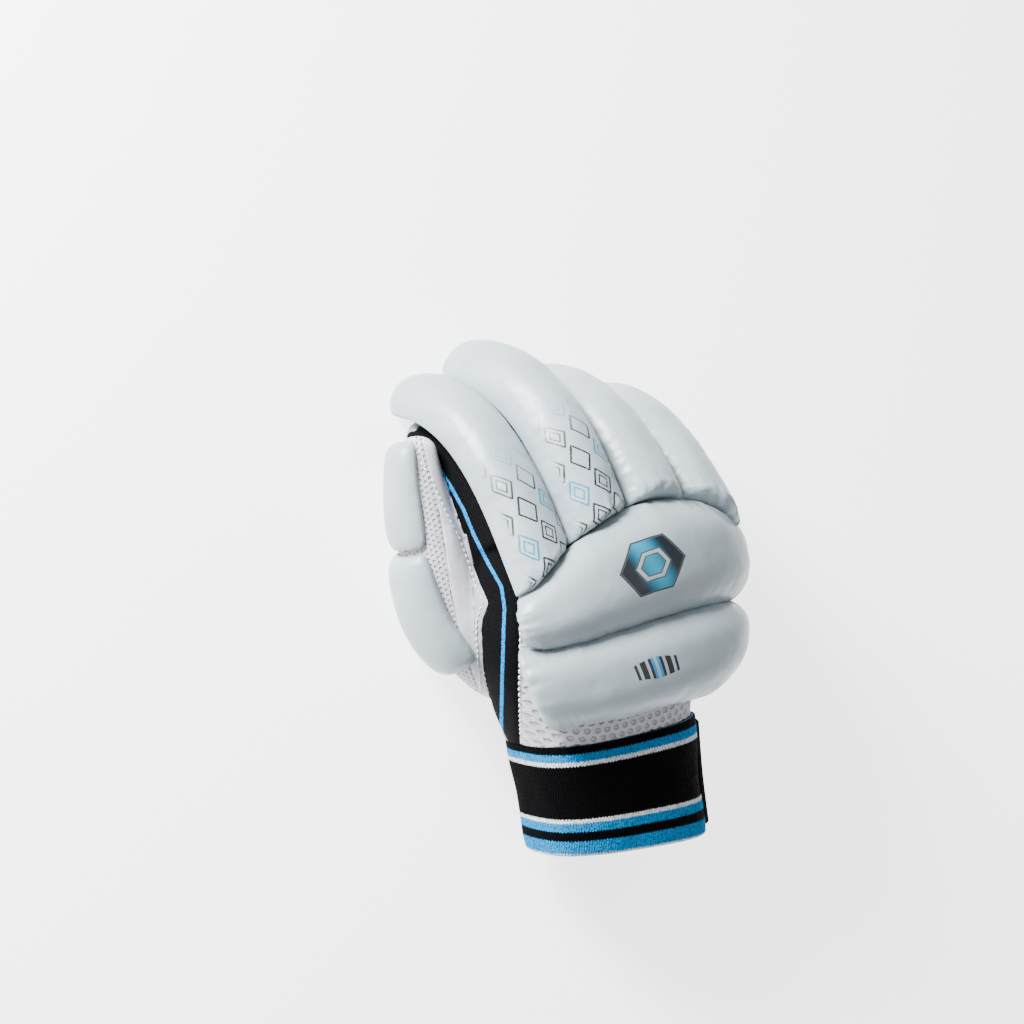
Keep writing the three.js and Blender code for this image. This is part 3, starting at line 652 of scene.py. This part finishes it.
# ---- rolls over the knuckles and the wrist
def back_roll(table, arc, seed, corner):
    """Roll across the hand; corner lengthens its thumb end towards the wrist."""
    start, stop, thick = arc
    rows, cols = 150, 49
    u = np.sin(np.linspace(-pi / 2, pi / 2, rows)) * 0.5 + np.linspace(-1, 1, rows) * 0.5
    s = ((u + 1) / 2)[:, None]
    u = u[:, None]
    v = np.sin(np.linspace(-pi / 2, pi / 2, cols))[None]
    front, rear = smooth(table, 1, s), smooth(table, 2, s) - corner * np.exp(-(s / 0.07) ** 2)
    y = rear + (front - rear) * (v + 1) / 2
    angle = np.radians(start + (stop - start) * s)
    dome = np.sqrt(np.maximum(1 - np.abs(u) ** 22, 0) * np.maximum(1 - np.abs(v) ** 3, 0))
    dome = dome ** 0.9
    over = 4 * dome * (1 - dome) * np.abs(v) ** 3
    y = y + np.sign(v) * 2.4 * over
    top = hand_point(y, angle, SEAT + 1 + (thick - 1) * dome)
    bottom = hand_point(y, angle, SEAT + 0 * dome)
    out = normals(top)
    if out[rows // 2, cols // 2][2] < 0:
        out = -out
    near = np.exp(-((1 - np.abs(v)) * 20 / 4) ** 2) + np.exp(-((1 - np.abs(u)) * 65 / 7) ** 2)
    top = pucker(top, out, np.clip(near, 0, 1) * dome ** 0.5, 0.9, seed)
    ends = np.exp(-((1 - np.abs(u)) * 65 / 11) ** 2) * dome ** 0.7
    top = folds(top, out, y, ends, 0.95, seed + 2)
    seams = np.exp(-((1 - np.abs(v)) * 20 / 5) ** 2) * dome ** 0.7
    top = folds(top, out, s * 120, seams, 0.55, seed + 5)
    length, width = lengths(top)
    return top, bottom, (np.broadcast_to(width - width[rows // 2], top.shape[:2]), length - length[:, :1])


for name, table, arc, draw, mark, spot, node, corner in (
        ("roll_over_knuckles", KNUCKLE_ROLL, KNUCKLE_ARC, emblem, EMBLEM, (655, 563), "knuckle_roll", 0),
        ("roll_over_wrist", WRIST_ROLL, WRIST_ARC, bars, BARS, (657, 667), "wrist_roll", 6)):
    top, bottom, uv = back_roll(table, arc, len(name) * 3.7, corner)
    off = np.hypot(*np.moveaxis(picture(top) - spot, -1, 0))
    nearest = np.unravel_index(off.argmin(), off.shape)
    mark[:] = [float(uv[0][nearest]), float(uv[1][nearest])]
    pad(name, top, bottom, leather(name, draw=draw), node, uv=uv)


# ---- thumb
class ThumbLine:
    """Centripetal curve through the thumb's stations."""

    def __init__(self):
        p = THUMB[:, :3]
        self.points = np.vstack([2 * p[0] - p[1], p, 2 * p[-1] - p[-2]])

    def at(self, share):
        x = np.clip(np.asarray(share, float), 0, 1) * (len(THUMB) - 1)
        i = np.minimum(x.astype(int), len(THUMB) - 2)
        t = (x - i)[..., None]
        p = [self.points[i + k] for k in range(4)]
        d = [np.maximum(((p[k + 1] - p[k]) ** 2).sum(-1, keepdims=True) ** 0.25, 1e-4) for k in range(3)]
        t1 = (p[1] - p[0]) / d[0] - (p[2] - p[0]) / (d[0] + d[1]) + (p[2] - p[1]) / d[1]
        t2 = (p[2] - p[1]) / d[1] - (p[3] - p[1]) / (d[1] + d[2]) + (p[3] - p[2]) / d[2]
        t1, t2 = t1 * d[1], t2 * d[1]
        c2, c3 = -3 * p[1] + 3 * p[2] - 2 * t1 - t2, 2 * p[1] - 2 * p[2] + t1 + t2
        point = p[1] + t1 * t + c2 * t ** 2 + c3 * t ** 3
        slope = t1 + 2 * c2 * t + 3 * c3 * t ** 2
        return point, unit(slope)

    def place(self, share, angle, distance):
        """distance is a function of the radius there."""
        share, angle = np.broadcast_arrays(share, angle)
        point, along = self.at(share)
        out = unit(np.array([-1, 0, 0]) + along * along[..., :1])
        up = np.cross(out, along)
        up *= np.sign(up[..., 2:])
        keys = np.stack([np.arange(6) / 5, THUMB[:, 3]], 1)
        d = distance(smooth(keys, 1, share))[..., None]
        return point + out * np.cos(angle)[..., None] * d + up * np.sin(angle)[..., None] * d


THUMB_LINE = ThumbLine()


def thumb_round(share):
    """Share of the radius that is left as the tip rounds off."""
    nose = np.minimum((1 - share) / 0.065, 1)
    return 0.2 + 0.8 * quarter(nose)


for name, node, first, last, thick, low, high in (
        ("thumb_lower_pad", "thumb_base_pad", .32, .59, 7, -60, 50),
        ("thumb_upper_pad", "thumb_tip_pad", .605, .975, 5.2, -60, 54)):
    v = np.sin(np.linspace(-pi / 2, pi / 2, 70))[:, None]
    i = np.linspace(-1, 1, 41)[None]
    share = first + (last - first) * (v + 1) / 2
    along = 1 - np.abs(v) ** 4
    angle = np.radians(low + (high - low) * (i + 1) / 2) * (0.74 + 0.26 * np.sqrt(along))
    dome = np.sqrt(np.maximum(1 - np.abs(i) ** 3, 0) * np.maximum(along, 0))
    top = THUMB_LINE.place(share, angle, lambda r: r * thumb_round(share) + SEAT + 1 + (thick - 1) * dome)
    bottom = THUMB_LINE.place(share, angle, lambda r: r * thumb_round(share) + SEAT + 0 * dome)
    out = normals(top)
    if out[35, 20][0] > 0:
        out = -out
    near = np.clip(np.exp(-((1 - np.abs(v)) * 20 / 3) ** 2) + np.exp(-((1 - np.abs(i)) * 14 / 3) ** 2), 0, 1)
    top = pucker(top, out, near * dome ** 0.5, 0.5, thick * 5)
    pad(name, top, bottom, ROLL_LEATHER, node, flip=True)


# ---- hand, finger tubes and thumb tube as one skin
def loft(rings):
    """Closed tube through rings, with a fan over each end."""
    rings = np.asarray(rings)
    rows, cols = rings.shape[:2]
    points = np.concatenate([rings.reshape(-1, 3), rings[0].mean(0)[None], rings[-1].mean(0)[None]])
    faces = grid_faces(rows, cols, wrap=True)
    for i in range(cols):
        faces.append((rows * cols, (i + 1) % cols, i))
        faces.append((rows * cols + 1, (rows - 1) * cols + i, (rows - 1) * cols + (i + 1) % cols))
    return points, faces


turn = np.arange(96) * 2 * pi / 96
rings = [hand_point(y, turn, 0) for y in np.linspace(-132, -12, 50)]
front_end = rings[-1]
for scale, y in ((0.97, -10.6), (0.9, -9.2), (0.8, -8.2), (0.65, -7.6)):
    ring = np.array([3, 0, 56]) + (front_end - [3, 0, 56]) * scale
    ring[:, 1] = y
    rings.append(ring)
parts = [loft(rings)]
for f in FINGER:
    end, start = f.long - 4, -13.5 - f.y
    s = start + (end - start) * np.sin(np.linspace(0, pi / 2, 50))
    nose = np.minimum((end - s) / 11, 1)[:, None]
    narrow = (1 - 0.1 * s / f.long)[:, None]
    q = 0.25 + 0.75 * quarter(nose)
    t = (np.arange(56) * 2 * pi / 56)[None]
    parts.append(loft(f.place(s[:, None], STALL_HALF_WIDTH * narrow * q * power(np.cos(t), 0.8),
                              STALL_MID + STALL_HALF_HEIGHT * q * power(np.sin(t), 0.8))))
share = np.sin(np.linspace(0, pi / 2, 60))[:, None]
parts.append(loft(THUMB_LINE.place(share, t, lambda r: r * thumb_round(share))))
offset, points, faces = 0, [], []
for p, t in parts:
    points.append(p)
    faces += [tuple(i + offset for i in face) for face in t]
    offset += len(p)
raw = bpy.data.meshes.new("skin_raw")
raw.from_pydata(metres(np.concatenate(points)).tolist(), [], faces)
raw.update()
block = new_object("skin_raw", raw)
remesh = block.modifiers.new("remesh", "REMESH")
remesh.mode, remesh.voxel_size = "VOXEL", 0.0016
soften = block.modifiers.new("soften", "SMOOTH")
soften.factor, soften.iterations = 0.5, 8
done = block.evaluated_get(bpy.context.evaluated_depsgraph_get()).to_mesh()
done.calc_loop_triangles()


def read(rows, key, kind=float):
    values = np.empty(len(rows) * 3, kind)
    rows.foreach_get(key, values)
    return values.reshape(-1, 3)


# Vertices, their normals, and triangles
V = read(done.vertices, "co") * 1000 - SHIFT
N = read(done.vertex_normals, "vector")
SKIN_T = T = read(done.loop_triangles, "vertices", int)
block.to_mesh_clear()
bpy.data.objects.remove(block)

# Fields whose zero lines are the borders between the pieces, in millimetres
X, Y, Z = V.T
hem = Y - (HEM_Y + GAP - HEM_PITCH * (Z - 35.8) - 3.5 * (X + 8) / 46.5)
row = np.minimum(Y, WEB_Y)
a, h = smooth(HAND, 3, row), smooth(HAND, 4, row)
dx = (X - smooth(HAND, 1, row)) / a
dz = (Z - smooth(HAND, 2, row) + smooth(HAND, 5, row) * dx ** 2) / h
hand_far = ((np.abs(dx) ** (2 / HAND_EXP) + np.abs(dz) ** (2 / HAND_EXP)) ** (HAND_EXP / 2) - 1) * h
hand_far = np.maximum(hand_far, Y + 12)
shares = np.linspace(0, 1, 120)
line, _ = THUMB_LINE.at(shares)
radius = smooth(np.stack([np.arange(6) / 5, THUMB[:, 3]], 1), 1, shares)
thumb_far = np.min([np.linalg.norm(V - line[i], axis=1) - radius[i] for i in range(120)], 0)
located = [f.locate(V) for f in FINGER]
finger_far = np.min([place[3] - STALL_HALF_WIDTH for place in located], 0)
thumb = np.minimum(hand_far, finger_far) - thumb_far
palm = np.minimum(smooth(HAND, 2, row) - 4 - Z, -2 - Y)
stripe = np.full(len(V), 50.0)
for f, (s, side, lift, far) in zip(FINGER, located):
    seam = STALL_MID - f.seam
    field = np.minimum(np.minimum(seam - lift, s - (WEB_Y - f.y)), 15.5 - np.abs(side))
    palm = np.maximum(palm, np.where(far < 19, field, -50))
    cap = np.minimum(s - (f.long - TIP_CAP + 3 * np.cos(side * 0.35)), 19 - far)
    if f is FINGER[0]:
        cap = np.minimum(cap, side + 10)
    palm = np.maximum(palm, np.where(lift < seam + 22, cap, -50))
    beside = (far < 17) & (np.abs(side) > 8) & (s > WEB_Y - f.y - 2)
    stripe = np.where(beside & (np.abs(lift + 13) < np.abs(stripe)), lift + 13, stripe)

# On the thumb side the borders of the knit band follow the picture
P = picture(V)
LEFT = np.array([
    (414, 441), (419, 455), (434, 478), (448, 510), (462, 538), (471, 561), (478, 584), (486, 602),
    (480, 618), (479, 630), (481, 664), (485, 699), (489, 722), (499, 745), (505, 775)], float)
CORD = np.array([
    (409, 436), (414, 442), (432, 460), (448, 483), (462, 508), (473, 535), (487, 563), (500, 586),
    (503, 607), (502, 630), (501, 676), (501, 722), (502, 745), (504, 775)], float)


def beside_line(points, path):
    """Signed distance from a line in the picture, in millimetres, positive to its right."""
    best = np.full(len(points), 1e9)
    out = np.zeros(len(points))
    for p, q in zip(path[:-1], path[1:]):
        d = q - p
        t = np.clip(((points - p) @ d) / (d @ d), 0, 1)
        off = points - (p + t[:, None] * d)
        far = np.hypot(*off.T)
        side = -(d[0] * off[:, 1] - d[1] * off[:, 0])
        near = far < best
        best[near] = far[near]
        out[near] = (np.sign(side) * far)[near]
    return out / SCALE


band = (X < -38) & (N @ VIEW_C > -0.15) & (P[:, 1] > 446) & (thumb < 0) & (Z > 24) & (located[0][0] < 82)
left = beside_line(P, LEFT)
palm = np.where(band & (np.abs(palm) < 13), -left, palm)
back = np.minimum(np.minimum(X + 55, BAND_RIGHT_X - X), BACK_FRONT_Y - Y)
back_left = (P[:, 0] - 518.5) / SCALE
back = np.where(band & (Y < -46), np.minimum(back_left, BACK_FRONT_Y - Y), back)
cord = beside_line(P, CORD)
stripe = np.where(band & (located[0][0] < 70), cord, stripe)
EDGE = np.array([
    (421, 440), (426, 462), (436, 500), (443, 540), (448, 580), (456, 620), (466, 655), (479, 692),
    (494, 730), (500, 760)], float)
side_cloth = np.where(N @ VIEW_C > -0.3, beside_line(P, EDGE), -50)
slices = [(x.x * cos(TURN) - x.y * sin(TURN)) * cos(LEAN) - x.z * sin(LEAN) for x in FINGER]
place = (X * cos(TURN) - Y * sin(TURN)) * cos(LEAN) - Z * sin(LEAN)
cuts = [place - (slices[i] + slices[i + 1]) / 2 for i in range(3)]

# Place, normal and fields of each vertex, and the columns of the fields
A = np.column_stack([V, N, hem, thumb, palm, back, stripe, *cuts, side_cloth])
IN_HEM, IN_THUMB, IN_PALM, IN_BACK, STRIPE, CUTS, IN_SIDE = 6, 7, 8, 9, 10, (11, 12, 13), 14


def split(a, t, column):
    """Cut the triangles along the zero line of a column."""
    g = a[:, column]
    g[np.abs(g) < 0.12] = 0
    s = np.sign(g)
    mixed = (s[t].min(1) < 0) & (s[t].max(1) > 0)
    keep, c = t[~mixed], t[mixed]
    up = s[c] > 0
    down = s[c] < 0
    # put the vertex that is alone on its side first
    alone = np.where(up.sum(1) == 1, up.argmax(1), down.argmax(1))
    c = np.take_along_axis(c, (alone[:, None] + np.arange(3)) % 3, 1)
    ends = np.vstack([np.sort(c[:, [0, 1]], 1), np.sort(c[:, [0, 2]], 1)])
    edges, inverse = np.unique(ends, axis=0, return_inverse=True)
    inverse = inverse.reshape(-1)
    g0, g1 = g[edges[:, 0]], g[edges[:, 1]]
    w = np.where(g0 * g1 < 0, g0 / np.where(g0 == g1, 1, g0 - g1), np.where(g0 == 0, 0.0, 1.0))[:, None]
    new = a[edges[:, 0]] * (1 - w) + a[edges[:, 1]] * w
    new[:, column] = 0
    first, second = inverse[:len(c)] + len(a), inverse[len(c):] + len(a)
    t = np.vstack([keep] + [np.column_stack(corners) for corners in (
        (c[:, 0], first, second), (first, c[:, 1], c[:, 2]), (first, c[:, 2], second))])
    return np.vstack([a, new]), t


for column in (IN_HEM, IN_THUMB, IN_PALM, IN_BACK, *CUTS, IN_SIDE):
    A, T = split(A, T, column)
# points that a cut doubled become one again
_, first, same = np.unique(np.round(A[:, :3], 2), axis=0, return_index=True, return_inverse=True)
A, T = A[first], same.reshape(-1)[T]
T = T[(T[:, 0] != T[:, 1]) & (T[:, 1] != T[:, 2]) & (T[:, 2] != T[:, 0])]
G = A[T].mean(1)
T, G = T[G[:, IN_HEM] > 0], G[G[:, IN_HEM] > 0]
is_thumb = G[:, IN_THUMB] > 0
is_palm = ~is_thumb & (G[:, IN_PALM] > 0)
is_back = ~is_thumb & ~is_palm & (G[:, IN_BACK] > 0)
number = (G[:, CUTS] > 0).sum(1)

# Sewn valleys along the borders, soft creases away from them
dip = np.zeros(len(A))
off_thumb, off_palm = A[:, IN_THUMB] < 1, A[:, IN_PALM] < 1
for column, used in ((IN_THUMB, True), (IN_PALM, off_thumb), (IN_BACK, off_thumb & off_palm)):
    dip = np.maximum(dip, np.where(used, np.exp(-(A[:, column] / 1.5) ** 2), 0))
crease = fields(A[:, :3], 0.06, 4) * 0.5 + fields(A[:, :3] * [1, 0.35, 1], 0.17, 8) * 0.45
soft = np.where(A[:, IN_PALM] > 0, 1.0, 0.35)
A[:, :3] += A[:, 3:6] * (crease * soft * (1 - dip) - 0.75 * dip)[:, None]

is_side = is_thumb & (G[:, IN_SIDE] > 0)
kind = np.select([is_palm, is_back, is_side, is_thumb], [0, 1, 3, 2], 4 + number)


def scraps(t, least):
    """Mark the triangles of loose islands that are smaller than the least count."""
    label = np.arange(len(A))
    while True:
        low = label.copy()
        np.minimum.at(low, t, label[t].min(1)[:, None])
        low = low[low]
        if (low == label).all():
            break
        label = low
    home = label[t[:, 0]]
    return np.bincount(home, minlength=len(A))[home] < least


# a small island goes to the piece beside it
for which in range(8):
    rows = np.flatnonzero(kind == which)
    kind[rows[scraps(T[rows], 60)]] = -1
loose = kind < 0
at_vertex = np.full(len(A), -1)
at_vertex[T[~loose]] = kind[~loose][:, None]
kind[loose] = at_vertex[T[loose]].max(1)
WALLS = (("palm_skin", PALM_LEATHER, "palm", "palm_leather"),
         ("back_skin", BACK_MESH, "back_panel", "mesh_cloth"),
         ("thumb_skin", THUMB_MESH, "thumb_sleeve", "mesh_cloth"),
         ("thumb_side_cloth", SIDE_CLOTH, "thumb_sleeve", "mesh_cloth"),
         ("index_knit", BLACK_KNIT, "index_gusset", "knit_black"),
         ("middle_knit", BLACK_KNIT, "middle_gusset", "knit_black"),
         ("ring_knit", BLACK_KNIT, "ring_gusset", "knit_black"),
         ("little_knit", BLACK_KNIT, "little_gusset", "knit_black"))
for which, (name, look, node, slot) in enumerate(WALLS):
    t = T[kind == which]
    used, index = np.unique(t, return_inverse=True)
    index = index.reshape(-1, 3)
    index = index[(index[:, 0] != index[:, 1]) & (index[:, 1] != index[:, 2]) & (index[:, 0] != index[:, 2])]
    piece = make(name, A[used, :3], index, look, replaces=[node],
                 attributes={"line": A[used, STRIPE]})
    wall = piece.modifiers.new("wall", "SOLIDIFY")
    wall.thickness, wall.offset = SKIN_THICK / 1000, -1


# ---- thread along the knit band
skin = BVHTree.FromPolygons(V.tolist(), SKIN_T.tolist())


def drop(spot):
    """Place on the skin that is seen at a point of the picture, and its normal."""
    x, y = (np.asarray(spot, float) - MID) / SCALE * (1, -1)
    ray = TARGET + VIEW_R * x + VIEW_U * y - aim
    hit, normal, _, _ = skin.ray_cast(Vector(aim), Vector(ray / np.linalg.norm(ray)))
    return (None, None) if hit is None else (np.array(hit), np.array(normal))


def stitches(name, path, radius, pitch=3.0, length=2.2, lift=0.25):
    """Row of stitches on the skin, along a path given in the picture."""
    path, places, faces = np.asarray(path, float), [], []
    step = np.concatenate([[0], np.cumsum(np.linalg.norm(np.diff(path, axis=0), axis=1))])
    dense = np.arange(0, step[-1], 0.4)
    found = [drop((np.interp(t, step, path[:, 0]), np.interp(t, step, path[:, 1]))) for t in dense]
    points = np.array([p for p, n in found if p is not None])
    ups = np.array([n for p, n in found if p is not None])
    gaps = np.minimum(np.linalg.norm(np.diff(points, axis=0), axis=1), 3)
    keys = np.concatenate([[0], np.cumsum(gaps)])
    for start in np.arange(1, keys[-1] - length, pitch):
        base = len(places)
        at = np.linspace(start, start + length, 5)
        mid = np.stack([np.interp(at, keys, points[:, k]) for k in range(3)], 1)
        up = np.stack([np.interp(at, keys, ups[:, k]) for k in range(3)], 1)
        side = unit(np.cross(unit(np.gradient(mid, axis=0)), up))
        arch = lift * np.array([-1.2, 0.6, 1, 0.6, -1.2])
        thick = radius * np.array([0.4, 0.95, 1, 0.95, 0.4])
        for m, u, w, h, r in zip(mid, up, side, arch, thick):
            for q in range(6):
                places.append(m + u * (h + r * 0.7 * sin(q * pi / 3)) + w * r * cos(q * pi / 3))
        faces += grid_faces(5, 6, wrap=True, base=base)
        faces += [tuple(base + q for q in range(5, -1, -1)), tuple(base + 24 + q for q in range(6))]
    return make(name, places, faces, THREAD)


stitches("band_thread_right", [(521.5, 590), (520, 640), (519, 690), (520.5, 738)], 0.42)
stitches("band_thread_left", [(q[0] - 3, q[1]) for q in LEFT[1:-2]], 0.38)


# ---- cuff
def ring_piece(name, rings, look, replaces, width):
    rows, cols = rings.shape[:2]
    wide = np.concatenate([rings, rings[:, :1]], 1)
    gaps = np.linalg.norm(np.diff(wide, axis=1), axis=-1)
    arc = np.concatenate([np.zeros((rows, 1)), np.cumsum(gaps, 1)], 1)
    uv = np.stack([arc, np.broadcast_to(width[:, None], arc.shape)], -1)
    return make(name, wide.reshape(-1, 3), grid_faces(rows, cols + 1), look, uv=uv.reshape(-1, 2),
                replaces=replaces)


span = -CUFF_HIGH
t = (np.arange(240) * 2 * pi / 240)[None]
down = np.linspace(0, 1, 70)
rise = 0.35 * np.sin(down * pi * 3) + 0.3
outer = np.stack([cuff_point(HEM_Y + span * d, t[0], r) for d, r in zip(down, rise)])
roll = np.linspace(0, pi, 12)[1:-1]
edge = np.stack([cuff_point(CUFF_END_Y + 0.2 - 1.2 * np.sin(q), t[0], -1.35 + 1.5 * np.cos(q)) for q in roll])
inner = np.stack([cuff_point(CUFF_END_Y - span * d, t[0], -CUFF_WALL) for d in np.linspace(0, 1, 30)])
width = np.concatenate([down * CUFF_HIGH, np.full(len(edge), CUFF_HIGH + 0.5), np.full(30, 20.0)])
rings = np.concatenate([outer, edge, inner])
bumpy = fields(rings, 0.09, 31) * 0.35
centre = rings.mean(1, keepdims=True)
rings = rings + unit((rings - centre) * [1, 0, 1]) * bumpy[..., None]
rings[..., 2] = np.maximum(rings[..., 2], CUFF_LOW_Z - 0.2)
ring_piece("cuff_knit_ring", np.concatenate([rings, rings[:1]]), CUFF_KNIT, ["cuff"],
           np.concatenate([width, [0.0]]))


# ---- strap and tab
def band_piece(name, angles, half, inner, thick, look, node, rim=0.0):
    """Band on the cuff: its width is along the cuff, with an optional raised rim."""
    rows, cols = 120, 40
    at = np.linspace(0, len(angles) - 1, rows)
    angle = np.radians(np.interp(at, range(len(angles)), angles))[:, None]
    halves = np.interp(at, range(len(half)), half)[:, None]
    t = np.linspace(-1, 1, cols)[None]
    from_edge = (1 - np.abs(t)) * halves
    from_end = np.minimum(at, len(angles) - 1 - at)[:, None] * 9
    near = np.minimum(from_edge, from_end)
    round_off = quarter(np.clip(near / 0.9, 0, 1))
    raise_by = rim * (np.exp(-((near - 2.2) / 0.9) ** 2) - 1) if rim else 0
    height = inner + thick * (0.35 + 0.65 * round_off) + raise_by

    def laid(out):
        return cuff_point(STRAP_Y + halves * t, angle, out + 0.35)

    top, bottom = laid(height), laid(np.full((rows, cols), inner))
    top[..., 2], bottom[..., 2] = np.maximum(top[..., 2], 0), np.maximum(bottom[..., 2], 0)
    v = np.broadcast_to(at[:, None] * 9, (rows, cols))
    uv = np.stack([np.broadcast_to(t * halves, (rows, cols)), v], -1).reshape(-1, 2)
    return make(name, np.concatenate([top.reshape(-1, 3), bottom.reshape(-1, 3)]), closed_faces(rows, cols),
                look, uv=np.concatenate([uv, uv]), replaces=[node])


strap_half = [24.5, 24.5, 24.5, 24.5, 24, 23.5, 22.5, 21.5, 20.5, 19.5, 18.5, 17.5]
strap_angles = [-(i - 2) * STRAP_STEP for i in range(12)]
tab_half = [15, 19.5, 20.5, 20.5, 20.5, 17.5, 9]
tab_angles = [-(i + 5) * STRAP_STEP for i in range(7)]
LINE_BLUE = (0.012, 0.36, 0.72, 1)
STRAP = rubber("strap_black", [])
TAB = rubber("tab_rubber", [(-15.5, 0.6, LINE_BLUE), (-11.5, 0.6, LINE_BLUE)])
band_piece("strap", strap_angles, strap_half, GAP, STRAP_THICK, STRAP, "wrist_strap")
band_piece("tab", tab_angles, tab_half, 2 * GAP + STRAP_THICK, TAB_THICK, TAB, "strap_tab",
           rim=0.8)


# ---- floor and light
floor_mesh = bpy.data.meshes.new("floor")
floor_mesh.from_pydata([(-3, -3, 0), (3, -3, 0), (3, 3, 0), (-3, 3, 0)], [], [(0, 1, 2, 3)])
floor = new_object("floor", floor_mesh)
k = Look("floor_white")
pale = k.finish((0.95, 0.95, 0.955, 1), 0.9, k.bump(k.noise(k.place(), 0.02, 2), 0.0001, 0.1),
                Emission_Color=(1, 1, 1, 1), Emission_Strength=2.4)
floor_mesh.materials.append(pale)

world = bpy.data.worlds.new("soft")
world.use_nodes = True
world.node_tree.nodes["Background"].inputs[0].default_value = (0.95, 0.97, 1, 1)
world.node_tree.nodes["Background"].inputs[1].default_value = 0.72
bpy.context.scene.world = world


def lamp(name, direction, far, size, power_w):
    light = bpy.data.lights.new(name, "AREA")
    light.shape, light.size, light.energy = "DISK", size, power_w
    thing = new_object(name, light)
    d = unit(direction)
    thing.location = Vector(metres(TARGET)) + Vector(d) * far
    thing.rotation_euler = Vector(d).to_track_quat("Z", "Y").to_euler()


lamp("key", 0.75 * VIEW_C - 0.6 * VIEW_R + 0.75 * VIEW_U, 1.2, 0.5, 82)
lamp("fill", 0.7 * VIEW_C + 0.9 * VIEW_R - 0.1 * VIEW_U, 1.4, 1.0, 4)
